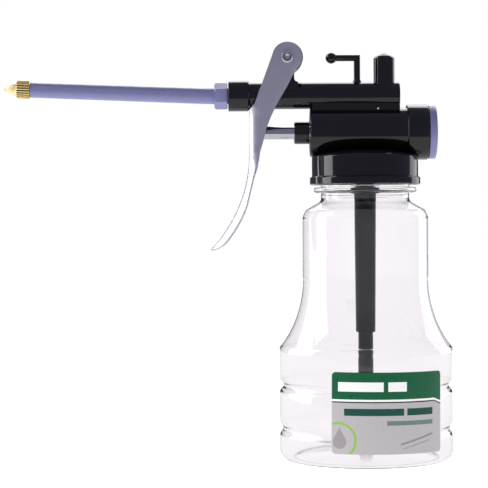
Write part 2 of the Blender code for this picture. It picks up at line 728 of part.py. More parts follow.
def make_barrel_bore():
    """The stepped bore of the barrel: passage, valve, spout tube and nut."""
    passage_end = BARREL_END_X - BARREL_END_WALL
    tube_bore = TUBE_ROOT_RADIUS + RUNNING_GAP
    nut_bore = NUT_SHANK_RADIUS + RUNNING_GAP
    nut_bore_end = FRONT_COLLAR_END_X + NUT_BORE_DEPTH
    profile = rod_profile(
        (BARREL_PASSAGE_RADIUS, passage_end), (BARREL_PASSAGE_RADIUS, VALVE_SEAT_X),
        (VALVE_BORE_RADIUS, VALVE_SEAT_X), (VALVE_BORE_RADIUS, TUBE_STOP_X),
        (tube_bore, TUBE_STOP_X), (tube_bore, nut_bore_end),
        (nut_bore, nut_bore_end), (nut_bore, FRONT_COLLAR_END_X - CUT_PAST))
    mesh = turned_mesh("barrel_bore", profile, 20, axis="X", at=(0.0, 0.0, BARREL_AXIS_HEIGHT))
    return tool("barrel_bore", mesh)


def make_stem_socket():
    """The socket of the suction stem, the ball chamber over it and the inlet passage."""
    chamber_low = STEM_SPIGOT_TOP_HEIGHT + SEAT_GAP
    pump_low = PUMP_AXIS_HEIGHT - PUMP_BORE_RADIUS
    profile = rod_profile(
        (INLET_PASSAGE_RADIUS, pump_low + CUT_PAST), (INLET_PASSAGE_RADIUS, INLET_CHAMBER_TOP_HEIGHT),
        (INLET_CHAMBER_RADIUS, INLET_CHAMBER_TOP_HEIGHT), (INLET_CHAMBER_RADIUS, chamber_low),
        (STEM_SOCKET_RADIUS, chamber_low), (STEM_SOCKET_RADIUS, SKIRT_LOW_HEIGHT - CUT_PAST))
    return tool("stem_socket", turned_mesh("stem_socket", profile, 20))


def make_skirt_cavity():
    """The ring-shaped hollow under the dome, round the stem's boss."""
    low = SKIRT_LOW_HEIGHT - CUT_PAST
    profile = tube_profile(SKIRT_BORE_RADIUS, STEM_BOSS_RADIUS, CEILING_HEIGHT, low)
    return tool("skirt_cavity", turned_mesh("skirt_cavity", profile + [profile[0]], FINE_STEPS))


def make_housing():
    """The one-piece pump head: barrel, web, pump cylinder, dome, skirt, ear, hook and post."""
    obj = part("pump_housing", make_barrel(), BLACK_PLASTIC, 0.22)
    web = box_mesh("web", (PUMP_FRONT_X + 2 * EDGE, -WEB_HALF_THICKNESS, PUMP_AXIS_HEIGHT),
                   (BARREL_END_X - BARREL_END_ROUND, WEB_HALF_THICKNESS, BARREL_AXIS_HEIGHT))
    combine(obj, tool("web", web), "UNION")
    combine(obj, make_pump_cylinder(), "UNION")
    combine(obj, tool("dome", turned_mesh("dome", dome_profile(), FINE_STEPS)), "UNION")
    combine(obj, make_ear(), "UNION")
    combine(obj, make_hook(), "UNION")
    combine(obj, make_post(), "UNION")
    combine(obj, make_skirt_cavity(), "DIFFERENCE")
    combine(obj, make_pump_bore(), "DIFFERENCE")
    combine(obj, make_barrel_bore(), "DIFFERENCE")
    combine(obj, make_stem_socket(), "DIFFERENCE")
    outlet_low = PUMP_AXIS_HEIGHT + PUMP_BORE_RADIUS / 2
    outlet_profile = rod_profile((OUTLET_RADIUS, BARREL_AXIS_HEIGHT), (OUTLET_RADIUS, outlet_low))
    outlet = turned_mesh("outlet_passage", outlet_profile, 12, at=(OUTLET_X, 0.0, 0.0))
    combine(obj, tool("outlet_passage", outlet), "DIFFERENCE")
    hole_profile = rod_profile((WEB_HOLE_RADIUS, PUMP_RADIUS), (WEB_HOLE_RADIUS, -PUMP_RADIUS))
    web_hole = turned_mesh("web_hole", hole_profile, 10, axis="Y",
                           at=(WEB_HOLE_X, 0.0, PUMP_AXIS_HEIGHT + WEB_HOLE_RISE))
    combine(obj, tool("web_hole", web_hole), "DIFFERENCE")
    combine(obj, make_pin_hole("ear_hole"), "DIFFERENCE")


def make_pin_hole(name):
    """A cutter for the hole that the trigger's pin passes through."""
    radius = PIN_RADIUS + RUNNING_GAP
    reach = TRIGGER_HALF_WIDTH + CUT_PAST
    mesh = turned_mesh(name, rod_profile((radius, reach), (radius, -reach)), 16,
                       axis="Y", at=(PIVOT_X, 0.0, PIVOT_HEIGHT))
    return tool(name, mesh)


def make_gasket():
    """The flat ring that seals the head on the bottle's mouth."""
    low = NECK_TOP_HEIGHT + SEAT_GAP
    profile = tube_profile(NECK_RADIUS + THREAD_DEPTH / 2, GASKET_INNER_RADIUS, low + GASKET_THICKNESS, low)
    mesh = turned_mesh("neck_gasket", profile + [profile[0]], ROUND_STEPS)
    part("neck_gasket", mesh, WHITE_PLASTIC, 0.6)


# Suction side

def make_stem():
    """The suction stem: a threaded spigot, a flange and a tapered tube."""
    flange_top = STEM_FLANGE_TOP_HEIGHT
    flange_low = flange_top - STEM_FLANGE_THICKNESS
    spigot_radius = STEM_SOCKET_RADIUS - SEAT_GAP
    socket_top = STEM_LOW_HEIGHT + DIP_TUBE_SOCKET_DEPTH
    socket_radius = DIP_TUBE_RADIUS + RUNNING_GAP
    profile = [
        (spigot_radius - EDGE, STEM_SPIGOT_TOP_HEIGHT), (spigot_radius, STEM_SPIGOT_TOP_HEIGHT - EDGE),
        (spigot_radius, flange_top), (STEM_FLANGE_RADIUS, flange_top),
        (STEM_FLANGE_RADIUS, flange_low + EDGE), (STEM_FLANGE_RADIUS - EDGE, flange_low),
        (STEM_TOP_RADIUS, flange_low - EDGE), (STEM_LOW_RADIUS, STEM_LOW_HEIGHT + EDGE),
        (STEM_LOW_RADIUS - EDGE, STEM_LOW_HEIGHT), (socket_radius, STEM_LOW_HEIGHT),
        (socket_radius, socket_top), (STEM_BORE_RADIUS, socket_top),
        (STEM_BORE_RADIUS, STEM_SPIGOT_TOP_HEIGHT)]
    mesh = turned_mesh("suction_stem", profile + [profile[0]], 20)
    part("suction_stem", mesh, BLACK_PLASTIC, 0.3)


def make_stem_washer():
    """The white washer between the head's boss and the stem's flange."""
    top = SKIRT_LOW_HEIGHT - SEAT_GAP
    profile = tube_profile(STEM_FLANGE_RADIUS, STEM_SOCKET_RADIUS, top, top - WASHER_THICKNESS)
    mesh = turned_mesh("stem_washer", profile + [profile[0]], 20)
    part("stem_washer", mesh, WHITE_PLASTIC, 0.5)


def make_dip_tube():
    """The tube pushed into the stem's lower end."""
    top = STEM_LOW_HEIGHT + DIP_TUBE_SOCKET_DEPTH - SEAT_GAP
    profile = tube_profile(DIP_TUBE_RADIUS, DIP_TUBE_BORE_RADIUS, top, DIP_TUBE_LOW_HEIGHT)
    mesh = turned_mesh("dip_tube", profile + [profile[0]], 16)
    part("dip_tube", mesh, BLACK_PLASTIC, 0.35)


def make_foot_ring():
    """The thin white ring between the tube and the strainer."""
    top = DIP_TUBE_LOW_HEIGHT - SEAT_GAP
    inner = DIP_TUBE_BORE_RADIUS + RUNNING_GAP
    profile = tube_profile(DIP_TUBE_RADIUS, inner, top, top - FOOT_RING_THICKNESS)
    mesh = turned_mesh("strainer_ring", profile + [profile[0]], 16)
    part("strainer_ring", mesh, WHITE_PLASTIC, 0.5)


def make_strainer():
    """The inlet strainer: a slotted sleeve with a spigot in the dip tube."""
    top = DIP_TUBE_LOW_HEIGHT - 2 * SEAT_GAP - FOOT_RING_THICKNESS
    spigot_radius = DIP_TUBE_BORE_RADIUS - RUNNING_GAP
    bore_radius = spigot_radius - STRAINER_WALL / 2
    spigot_top = DIP_TUBE_LOW_HEIGHT + STRAINER_SPIGOT_LENGTH
    profile = [
        (spigot_radius, spigot_top), (spigot_radius, top), (STRAINER_RADIUS, top),
        (STRAINER_RADIUS, STRAINER_LOW_HEIGHT), (STRAINER_RADIUS - STRAINER_WALL, STRAINER_LOW_HEIGHT),
        (STRAINER_RADIUS - STRAINER_WALL, top - STRAINER_WALL), (bore_radius, top - STRAINER_WALL),
        (bore_radius, spigot_top)]
    mesh = turned_mesh("inlet_strainer", profile + [profile[0]], 16)
    obj = part("inlet_strainer", mesh, BLACK_PLASTIC, 0.6)
    slot_low = STRAINER_LOW_HEIGHT + STRAINER_SLOT_LIFT
    slot_high = slot_low + STRAINER_SLOT_LENGTH
    reach = STRAINER_RADIUS * 2
    half = STRAINER_SLOT_WIDTH / 2
    along_x = box_mesh("strainer_slot_x", (-reach, -half, slot_low), (reach, half, slot_high))
    along_y = box_mesh("strainer_slot_y", (-half, -reach, slot_low), (half, reach, slot_high))
    combine(obj, tool("strainer_slot_x", along_x), "DIFFERENCE")
    combine(obj, tool("strainer_slot_y", along_y), "DIFFERENCE")


def make_inlet_ball():
    """The ball that rests on the stem's top and lifts on the suction stroke."""
    lift = math.sqrt(INLET_BALL_RADIUS ** 2 - STEM_BORE_RADIUS ** 2)
    height = STEM_SPIGOT_TOP_HEIGHT + lift + SEAT_GAP
    part("inlet_ball", ball_mesh("inlet_ball", INLET_BALL_RADIUS, (0.0, 0.0, height)), STEEL, 0.15, 1.0)


# Discharge side

def make_outlet_ball():
    """The sprung ball that closes the barrel's passage."""
    lift = math.sqrt(OUTLET_BALL_RADIUS ** 2 - BARREL_PASSAGE_RADIUS ** 2)
    place = VALVE_SEAT_X - lift - SEAT_GAP
    mesh = ball_mesh("outlet_ball", OUTLET_BALL_RADIUS, (place, 0.0, BARREL_AXIS_HEIGHT))
    part("outlet_ball", mesh, STEEL, 0.15, 1.0)
    return place - OUTLET_BALL_RADIUS


def make_outlet_spring(ball_front):
    """The light spring between the discharge ball and the spout tube."""
    start = TUBE_STOP_X + OUTLET_WIRE_RADIUS + SEAT_GAP
    pitch = 2 * OUTLET_WIRE_RADIUS + SEAT_GAP
    end = ball_front + OUTLET_BALL_RADIUS * 0.25 - OUTLET_WIRE_RADIUS - SEAT_GAP - 1.5 * pitch
    points = spaced_coil(OUTLET_COIL_RADIUS, OUTLET_WIRE_RADIUS, start, end, OUTLET_TURNS, 8,
                         BARREL_AXIS_HEIGHT)
    part("outlet_spring", wire_mesh("outlet_spring", points, OUTLET_WIRE_RADIUS, 1), STEEL, 0.25, 1.0)


def rise(x):
    """How far the spout's axis stands over the barrel's axis at x."""
    run = NUT_FRONT_X - x
    slope = math.tan(TUBE_RISE_ANGLE)
    if run <= 0.0:
        return 0.0
    if run < TUBE_RISE_BLEND:
        return slope * run * run / (2 * TUBE_RISE_BLEND)
    return slope * (run - TUBE_RISE_BLEND / 2)


def make_spout_tube():
    """The long spout tube, which rises slightly from the nut to its tip."""
    root = TUBE_STOP_X - SEAT_GAP
    places = [root, NUT_FRONT_X, NUT_FRONT_X - TUBE_RISE_BLEND / 2,
              NUT_FRONT_X - TUBE_RISE_BLEND, TUBE_TIP_X]
    outer = []
    for x in places:
        share = max(0.0, (NUT_FRONT_X - x) / TUBE_SHOWING)
        outer.append((TUBE_ROOT_RADIUS + (TUBE_TIP_RADIUS - TUBE_ROOT_RADIUS) * share, x))
    inner = [(TUBE_BORE_RADIUS, x) for x in reversed(places)]
    profile = outer + inner
    mesh = turned_mesh("spout_tube", profile + [profile[0]], 20, axis="X")
    for vert in mesh.vertices:
        vert.co.z += BARREL_AXIS_HEIGHT + rise(vert.co.x)
    part("spout_tube", mesh, LILAC_PLASTIC, 0.45)


def make_spout_nut():
    """The hexagonal nut that holds the tube, with a threaded shank in the collar."""
    bore = TUBE_ROOT_RADIUS + RUNNING_GAP
    shank_end = NUT_SEAT_X + NUT_BORE_DEPTH - FERRULE_LENGTH - 2 * SEAT_GAP
    profile = [
        (NUT_SHANK_RADIUS, shank_end), (NUT_SHANK_RADIUS, NUT_SEAT_X), (NUT_CORNER_RADIUS, NUT_SEAT_X),
        (NUT_CORNER_RADIUS, NUT_FRONT_X), (bore, NUT_FRONT_X), (bore, shank_end)]
    mesh = turned_mesh("spout_nut", profile + [profile[0]], 24, axis="X", at=(0.0, 0.0, BARREL_AXIS_HEIGHT))
    obj = part("spout_nut", mesh, LILAC_PLASTIC, 0.4)
    shape = bmesh.new()
    place = Matrix.Translation((NUT_FRONT_X / 2 + NUT_SEAT_X / 2, 0.0, BARREL_AXIS_HEIGHT))
    place = place @ Matrix.Rotation(math.pi / 2, 4, "Y") @ Matrix.Rotation(NUT_TURN, 4, "Z")
    bmesh.ops.create_cone(shape, cap_ends=True, segments=6, radius1=NUT_CORNER_RADIUS,
                          radius2=NUT_CORNER_RADIUS, depth=4 * NUT_BORE_DEPTH, matrix=place)
    hexagon = bpy.data.meshes.new("nut_hexagon")
    shape.to_mesh(hexagon)
    shape.free()
    combine(obj, tool("nut_hexagon", hexagon), "INTERSECT")


def make_ferrule():
    """The soft ring that the nut presses round the tube."""
    low = FRONT_COLLAR_END_X + NUT_BORE_DEPTH - SEAT_GAP - FERRULE_LENGTH
    outer = NUT_SHANK_RADIUS - RUNNING_GAP / 2
    profile = tube_profile(outer, TUBE_ROOT_RADIUS + RUNNING_GAP, low + FERRULE_LENGTH, low)
    mesh = turned_mesh("spout_ferrule", profile + [profile[0]], 20, axis="X",
                       at=(0.0, 0.0, BARREL_AXIS_HEIGHT))
    part("spout_ferrule", mesh, WHITE_PLASTIC, 0.5)


def knurled_mesh(name, radius, depth, count, length):
    """A straight-knurled disc along +Z, from the origin down."""
    outline = []
    for i in range(count * 2):
        angle = math.pi * i / count
        reach = radius - (depth if i % 2 else 0.0)
        outline.append((reach * math.cos(angle), reach * math.sin(angle)))
    mesh = slab_mesh(name, outline, length / 2)
    mesh.transform(Matrix.Rotation(-math.pi / 2, 4, "X"))
    return mesh


def make_nozzle():
    """The brass nozzle: a spigot in the tube, a knurled collar and a pointed tip."""
    seat = TUBE_TIP_X - SEAT_GAP
    collar_front = seat - NOZZLE_COLLAR_LENGTH
    tip = collar_front - NOZZLE_CONE_LENGTH
    spigot = TUBE_BORE_RADIUS - RUNNING_GAP
    cone = []
    for share in (0.0, 0.35, 0.7, 1.0):
        radius = NOZZLE_TIP_RADIUS + (NOZZLE_CONE_RADIUS - NOZZLE_TIP_RADIUS) * (1.0 - share ** 1.6)
        cone.append((radius, collar_front - NOZZLE_CONE_LENGTH * share))
    profile = [(spigot, seat + NOZZLE_SPIGOT_LENGTH), (spigot, seat - NOZZLE_COLLAR_LENGTH / 2)]
    profile += [(NOZZLE_CONE_RADIUS, seat - NOZZLE_COLLAR_LENGTH / 2)] + cone
    profile += [(NOZZLE_ORIFICE_RADIUS, tip), (NOZZLE_ORIFICE_RADIUS, seat + NOZZLE_SPIGOT_LENGTH)]
    mesh = turned_mesh("nozzle", profile + [profile[0]], 16, axis="X")
    obj = part("nozzle", mesh, BRASS, 0.25, 1.0)
    collar_mesh = knurled_mesh("nozzle_collar", NOZZLE_COLLAR_RADIUS, NOZZLE_KNURL_DEPTH,
                               NOZZLE_KNURL_COUNT, NOZZLE_COLLAR_LENGTH)
    collar_mesh.transform(Matrix.Rotation(math.pi / 2, 4, "Y"))
    collar_mesh.transform(Matrix.Translation((seat - NOZZLE_COLLAR_LENGTH / 2, 0.0, 0.0)))
    bore_profile = rod_profile((NOZZLE_ORIFICE_RADIUS, seat + CUT_PAST),
                               (NOZZLE_ORIFICE_RADIUS, tip - CUT_PAST))
    bore_mesh = turned_mesh("nozzle_bore", bore_profile, 16, axis="X")
    collar = tool("nozzle_collar", collar_mesh)
    combine(collar, tool("nozzle_bore", bore_mesh), "DIFFERENCE")
    combine(obj, collar, "UNION")
    pose = Matrix.Translation((TUBE_TIP_X, 0.0, BARREL_AXIS_HEIGHT + rise(TUBE_TIP_X)))
    pose = pose @ Matrix.Rotation(TUBE_RISE_ANGLE, 4, "Y") @ Matrix.Translation((-TUBE_TIP_X, 0.0, 0.0))
    for item in (obj, collar, CUTTERS.objects["nozzle_bore"]):
        item.matrix_basis = pose


# Pump

def make_rod():
    """The plunger rod with a domed tip and a thin tail in the piston."""
    shoulder = PISTON_FRONT_X - SEAT_GAP
    dome = arc((0.0, ROD_TIP_X + ROD_RADIUS), ROD_RADIUS, 0, -90, 4)
    dome[-1] = (0.0, ROD_TIP_X)
    profile = [(0.0, shoulder + ROD_TAIL_LENGTH), (ROD_TAIL_RADIUS, shoulder + ROD_TAIL_LENGTH)]
    profile += [(ROD_TAIL_RADIUS, shoulder), (ROD_RADIUS, shoulder)] + dome
    mesh = turned_mesh("plunger_rod", profile, 20, axis="X", at=(0.0, 0.0, PUMP_AXIS_HEIGHT))
    part("plunger_rod", mesh, STEEL, 0.12, 1.0)


def ring_groove():
    """The piston ring's groove: its front and rear places along X."""
    middle = PISTON_FRONT_X + PISTON_LENGTH / 2
    half = PISTON_RING_WIDTH / 2 + SEAT_GAP
    return middle - half, middle + half


def make_piston():
    """The piston with a ring groove, a socket for the rod and a boss for the spring."""
    front, rear = ring_groove()
    groove = PISTON_RADIUS - PISTON_GROOVE_DEPTH
    boss_end = PISTON_REAR_X + PISTON_BOSS_LENGTH
    socket = ROD_TAIL_RADIUS + RUNNING_GAP
    socket_end = PISTON_FRONT_X + ROD_TAIL_LENGTH
    profile = [
        (0.0, boss_end), (PISTON_BOSS_RADIUS, boss_end), (PISTON_BOSS_RADIUS, PISTON_REAR_X),
        (PISTON_RADIUS, PISTON_REAR_X), (PISTON_RADIUS, rear), (groove, rear), (groove, front),
        (PISTON_RADIUS, front), (PISTON_RADIUS, PISTON_FRONT_X), (socket, PISTON_FRONT_X),
        (socket, socket_end), (0.0, socket_end)]
    mesh = turned_mesh("piston", profile, 24, axis="X", at=(0.0, 0.0, PUMP_AXIS_HEIGHT))
    part("piston", mesh, WHITE_PLASTIC, 0.5)


def make_piston_ring():
    """The rubber ring in the piston's groove."""
    front, rear = ring_groove()
    inner = PISTON_RADIUS - PISTON_GROOVE_DEPTH + SEAT_GAP
    outer = PISTON_RADIUS + PISTON_CLEARANCE / 3
    profile = tube_profile(outer, inner, rear - SEAT_GAP, front + SEAT_GAP)
    mesh = turned_mesh("piston_ring", profile + [profile[0]], ROUND_STEPS, axis="X",
                       at=(0.0, 0.0, PUMP_AXIS_HEIGHT))
    part("piston_ring", mesh, RUBBER, 0.6)


def make_return_spring():
    """The spring that pushes the plunger and the trigger back."""
    pitch = 2 * RETURN_WIRE_RADIUS + SEAT_GAP
    start = PISTON_REAR_X + RETURN_WIRE_RADIUS + SEAT_GAP
    seat = end_cap_front() + SPRING_POCKET_DEPTH
    end = seat - RETURN_WIRE_RADIUS - SEAT_GAP - 1.5 * pitch
    points = spaced_coil(RETURN_COIL_RADIUS, RETURN_WIRE_RADIUS, start, end, RETURN_TURNS, 10,
                         PUMP_AXIS_HEIGHT)
    part("return_spring", wire_mesh("return_spring", points, RETURN_WIRE_RADIUS, 1), STEEL, 0.25, 1.0)


def make_gland():
    """The gland nut round the rod, with a threaded shank in the cylinder's front wall."""
    bore = ROD_RADIUS + RUNNING_GAP
    shank_end = GLAND_SEAT_X + GLAND_BORE_DEPTH - ROD_SEAL_LENGTH - 2 * SEAT_GAP
    profile = [
        (GLAND_SHANK_RADIUS, shank_end), (GLAND_SHANK_RADIUS, GLAND_SEAT_X), (GLAND_RADIUS, GLAND_SEAT_X),
        (GLAND_RADIUS, GLAND_FRONT_X + EDGE), (GLAND_RADIUS - EDGE, GLAND_FRONT_X),
        (bore, GLAND_FRONT_X), (bore, shank_end)]
    mesh = turned_mesh("gland_nut", profile + [profile[0]], 24, axis="X", at=(0.0, 0.0, PUMP_AXIS_HEIGHT))
    part("gland_nut", mesh, BLACK_PLASTIC, 0.25)


def make_rod_seal():
    """The rubber ring that the gland presses round the rod."""
    rear = GLAND_SEAT_X + GLAND_BORE_DEPTH - SEAT_GAP
    profile = tube_profile(GLAND_SHANK_RADIUS, ROD_RADIUS + RUNNING_GAP, rear, rear - ROD_SEAL_LENGTH)
    mesh = turned_mesh("rod_seal", profile + [profile[0]], 20, axis="X", at=(0.0, 0.0, PUMP_AXIS_HEIGHT))
    part("rod_seal", mesh, RUBBER, 0.6)


def end_cap_front():
    """Where the end cap's shank ends in the pump bore."""
    return END_CAP_BORE_X + END_SEAL_LENGTH + 2 * SEAT_GAP


def make_end_cap():
    """The screwed end cap: a domed flange, a shank and a pocket for the spring."""
    flange_front = REAR_COLLAR_END_X + SEAT_GAP
    flange_rear = flange_front + END_CAP_FLANGE
    shank = END_CAP_BORE_RADIUS - SEAT_GAP
    front = end_cap_front()
    pocket = front + SPRING_POCKET_DEPTH
    profile = [(0.0, flange_rear + END_CAP_DOME)]
    for angle in (62, 35, 12):
        turn = math.radians(angle)
        profile.append((END_CAP_RADIUS * math.cos(turn), flange_rear + END_CAP_DOME * math.sin(turn)))
    profile += [
        (END_CAP_RADIUS, flange_rear), (END_CAP_RADIUS, flange_front), (shank, flange_front),
        (shank, front), (SPRING_POCKET_RADIUS, front), (SPRING_POCKET_RADIUS, pocket), (0.0, pocket)]
    mesh = turned_mesh("end_cap", profile, ROUND_STEPS, axis="X", at=(0.0, 0.0, PUMP_AXIS_HEIGHT))
    part("end_cap", mesh, LILAC_PLASTIC, 0.35)


def make_end_seal():
    """The flat ring between the end cap and the shoulder of its bore."""
    front = END_CAP_BORE_X + SEAT_GAP
    profile = tube_profile(END_CAP_BORE_RADIUS - SEAT_GAP, PUMP_BORE_RADIUS, front + END_SEAL_LENGTH, front)
    mesh = turned_mesh("end_cap_seal", profile + [profile[0]], 24, axis="X",
                       at=(0.0, 0.0, PUMP_AXIS_HEIGHT))
    part("end_cap_seal", mesh, RUBBER, 0.6)


# Trigger

def cheek_section(depth, half_width, bend):
    """Half of the folded section, from the middle of the web to the free edge.

    Each point is (sideways, backwards). A shallow section is a dish, a deep one a channel.
    """
    if depth >= bend:
        flat = half_width - bend
        points = [(0.0, 0.0), (flat, 0.0)]
        for angle in (30, 60, 90):
            turn = math.radians(angle)
            points.append((flat + bend * math.sin(turn), bend * (1.0 - math.cos(turn))))
        points += [(half_width, (bend + depth) / 2), (half_width, depth)]
        return points
    turn = math.acos(1.0 - depth / bend)
    flat = max(half_width - bend * math.sin(turn), half_width * 0.1)
    reach = half_width - flat
    points = [(0.0, 0.0), (flat, 0.0)]
    for i in range(1, 6):
        angle = turn * i / 5
        points.append((flat + reach * math.sin(angle) / math.sin(turn), bend * (1.0 - math.cos(angle))))
    return points


def between(table, place):
    """Read a value from a table of (place, value) pairs in rising order."""
    if place <= table[0][0]:
        return table[0][1]
    for (low, low_value), (high, high_value) in zip(table, table[1:]):
        if place <= high:
            return low_value + (high_value - low_value) * (place - low) / (high - low)
    return table[-1][1]


def head_rows():
    """Rows of the cheek's round head and arm, from the top: (drop, front reach, back reach)."""
    rows = []
    for angle in (25, 50, 71.3):
        turn = math.radians(angle)
        reach = CHEEK_HEAD_RADIUS * math.sin(turn)
        rows.append((-CHEEK_HEAD_RADIUS * math.cos(turn), -reach, reach))
    for share in (0.0, 0.385, 0.77):
        drop = CHEEK_HEAD_RADIUS * share
        back = math.sqrt(CHEEK_HEAD_RADIUS ** 2 - drop ** 2)
        rows.append((drop, between(CHEEK_FRONT, drop), back))
    arm_start = CHEEK_BACK[0][0]
    web_start = PIVOT_HEIGHT - WEB_TOP_HEIGHT - WEB_TOP_RISE
    for i in range(3):
        drop = arm_start + (web_start - arm_start) * i / 3
        rows.append((drop, between(CHEEK_FRONT, drop), between(CHEEK_BACK, drop)))
    return rows


def head_grid(shape, cheek_points):
    """Rows of points of the flat cheek above the web."""
    grid = []
    for drop, front, back in head_rows():
        row = []
        for i in range(cheek_points):
            reach = front + (back - front) * i / (cheek_points - 1)
            row.append(shape.verts.new((reach, TRIGGER_HALF_WIDTH, -drop)))
        grid.append(row)
    return grid


def channel_grid(shape):
    """Rows of points of the straight channel, whose web's top edge slopes down to its middle."""
    top_drop = PIVOT_HEIGHT - WEB_TOP_HEIGHT - WEB_TOP_RISE
    top_bend = CHEEK_FRONT[-1][1] + TRIGGER_REACH
    steps = 4
    grid = []
    for i in range(steps + 1):
        drop = top_drop + (BLADE_START_DROP - top_drop) * i / steps
        depth = between(CHEEK_BACK, drop) + TRIGGER_REACH
        bend = TRIGGER_BEND if i else top_bend
        row = []
        for sideways, backwards in cheek_section(depth, TRIGGER_HALF_WIDTH, bend):
            slope = WEB_TOP_RISE * max(0.0, 1.0 - backwards / top_bend) if i == 0 else 0.0
            row.append(shape.verts.new((backwards - TRIGGER_REACH, sideways, -drop - slope)))
        grid.append(row)
    return grid


def blade_grid(shape):
    """Rows of points of the curved, dished blade down to its rounded tip."""
    tip_turn = TRIGGER_HALF_WIDTH / BLADE_CURVE_RADIUS
    round_start = BLADE_TURN - tip_turn
    last = math.sqrt(1.0 - (BLADE_TIP_HALF_WIDTH / TRIGGER_HALF_WIDTH) ** 2)
    turns = [round_start * share for share in (0.09, 0.16, 0.27, 0.37, 0.49, 0.61, 0.74, 0.87)]
    turns += [round_start + tip_turn * last * share for share in (0.0, 0.4, 0.7, 0.88, 1.0)]
    dish_start = math.radians(14.0)
    grid = []
    for turn in turns:
        over = max(0.0, (turn - round_start) / tip_turn)
        narrowing = math.sqrt(1.0 - over ** 2)
        depth = between(BLADE_DEPTHS, math.degrees(turn)) * narrowing ** 2
        bend = TRIGGER_BEND + (BLADE_DISH_RADIUS - TRIGGER_BEND) * min(turn / dish_start, 1.0)
        row = []
        for sideways, backwards in cheek_section(depth, TRIGGER_HALF_WIDTH * narrowing, bend):
            reach = BLADE_CURVE_RADIUS + backwards
            row.append(shape.verts.new((reach * math.cos(turn) - BLADE_CURVE_RADIUS - TRIGGER_REACH,
                                        sideways, -BLADE_START_DROP - reach * math.sin(turn))))
        grid.append(row)
    return grid


def make_trigger():
    """The trigger: two cheeks, a web between them and a dished, curved blade, from one sheet."""
    shape = bmesh.new()
    lower = channel_grid(shape) + blade_grid(shape)
    cheek_points = 3
    upper = head_grid(shape, cheek_points) + [lower[0][-cheek_points:]]
    for grid in (upper, lower):
        for row, next_row in zip(grid, grid[1:]):
            for i in range(len(row) - 1):
                shape.faces.new((row[i], row[i + 1], next_row[i + 1], next_row[i]))
    mesh = bpy.data.meshes.new("trigger")
    shape.to_mesh(mesh)
    shape.free()
    smooth(mesh, 50.0)
    obj = part("trigger", mesh, STEEL, 0.35, 1.0)
    obj.location = (PIVOT_X, 0.0, PIVOT_HEIGHT)
    mirror = obj.modifiers.new("other_side", "MIRROR")
    mirror.use_axis = (False, True, False)
    mirror.merge_threshold = MERGE
    thicken = obj.modifiers.new("sheet", "SOLIDIFY")
    thicken.thickness = SHEET
    thicken.offset = -1.0
    thicken.use_even_offset = True
    combine(obj, make_pin_hole("cheek_holes"), "DIFFERENCE")


def make_pin():
    """The riveted pin: a shank through the ear and both cheeks, with a dished head at each end."""
    under = TRIGGER_HALF_WIDTH + SEAT_GAP
    crown = under + PIN_HEAD_THICKNESS
    profile = [
        (0.0, crown - PIN_DISH_DEPTH), (PIN_DISH_RADIUS, crown), (PIN_HEAD_RADIUS - PIN_HEAD_ROUND, crown),
        (PIN_HEAD_RADIUS, crown - PIN_HEAD_ROUND), (PIN_HEAD_RADIUS, under), (PIN_RADIUS, under)]
    lower = [(r, -z) for r, z in reversed(profile)]
    mesh = turned_mesh("trigger_pin", profile + lower, 16, axis="Y", at=(PIVOT_X, 0.0, PIVOT_HEIGHT))
    part("trigger_pin", mesh, STEEL, 0.2, 1.0)


def main():
    """Make every sub-part."""
    make_bottle()
    make_label()
    make_housing()
    make_gasket()
    make_stem()
    make_stem_washer()
    make_dip_tube()
    make_foot_ring()
    make_strainer()
    make_inlet_ball()
    make_outlet_spring(make_outlet_ball())
    make_spout_tube()
    make_spout_nut()
    make_ferrule()
    make_nozzle()
    make_rod()
    make_piston()
    make_piston_ring()
    make_return_spring()
    make_gland()
    make_rod_seal()
    make_end_cap()
    make_end_seal()
    make_trigger()
    make_pin()


main()
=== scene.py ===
import math

import bpy
from mathutils import Matrix, Vector


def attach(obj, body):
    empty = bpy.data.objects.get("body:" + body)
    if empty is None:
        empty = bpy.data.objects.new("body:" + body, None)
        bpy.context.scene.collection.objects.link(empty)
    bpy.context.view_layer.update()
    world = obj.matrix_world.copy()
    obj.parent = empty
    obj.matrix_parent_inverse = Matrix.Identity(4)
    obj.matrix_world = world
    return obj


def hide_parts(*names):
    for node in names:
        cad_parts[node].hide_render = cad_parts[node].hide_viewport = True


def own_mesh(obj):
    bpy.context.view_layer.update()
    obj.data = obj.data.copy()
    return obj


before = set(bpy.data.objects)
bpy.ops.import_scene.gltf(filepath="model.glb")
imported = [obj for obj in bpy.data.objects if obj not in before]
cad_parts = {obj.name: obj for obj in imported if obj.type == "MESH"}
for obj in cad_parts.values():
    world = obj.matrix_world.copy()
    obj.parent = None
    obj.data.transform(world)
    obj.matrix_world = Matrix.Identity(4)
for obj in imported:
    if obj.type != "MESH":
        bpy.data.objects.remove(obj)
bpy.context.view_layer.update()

# Outlines are in millimetres from the bottle's axis, and pieces are made in metres.
MM = 0.001
BOTTLE_AXIS = 54.7
BARREL_AXIS = Vector((BOTTLE_AXIS, 0.0, 145.4)) * MM
PUMP_AXIS = Vector((BOTTLE_AXIS, 0.0, 130.6)) * MM
UPRIGHT_AXIS = Vector((BOTTLE_AXIS, 0.0, 0.0)) * MM
PIVOT = Vector((BOTTLE_AXIS - 31.0, 0.0, 160.45)) * MM
WELD = 0.00001


# Modelling

def alone(piece):
    """Select one piece and nothing else."""
    bpy.ops.object.select_all(action="DESELECT")
    piece.select_set(True)
    bpy.context.view_layer.objects.active = piece


def select_points():
    """Select every point of the open piece."""
    bpy.ops.mesh.select_all(action="SELECT")


def extrude(move):
    """Extrude what is selected by a move."""
    bpy.ops.mesh.extrude_region_move(TRANSFORM_OT_translate={"value": move})


def editing(piece):
    """Open a piece for editing by its points."""
    alone(piece)
    bpy.context.tool_settings.mesh_select_mode = (True, False, False)
    bpy.ops.object.mode_set(mode="EDIT")


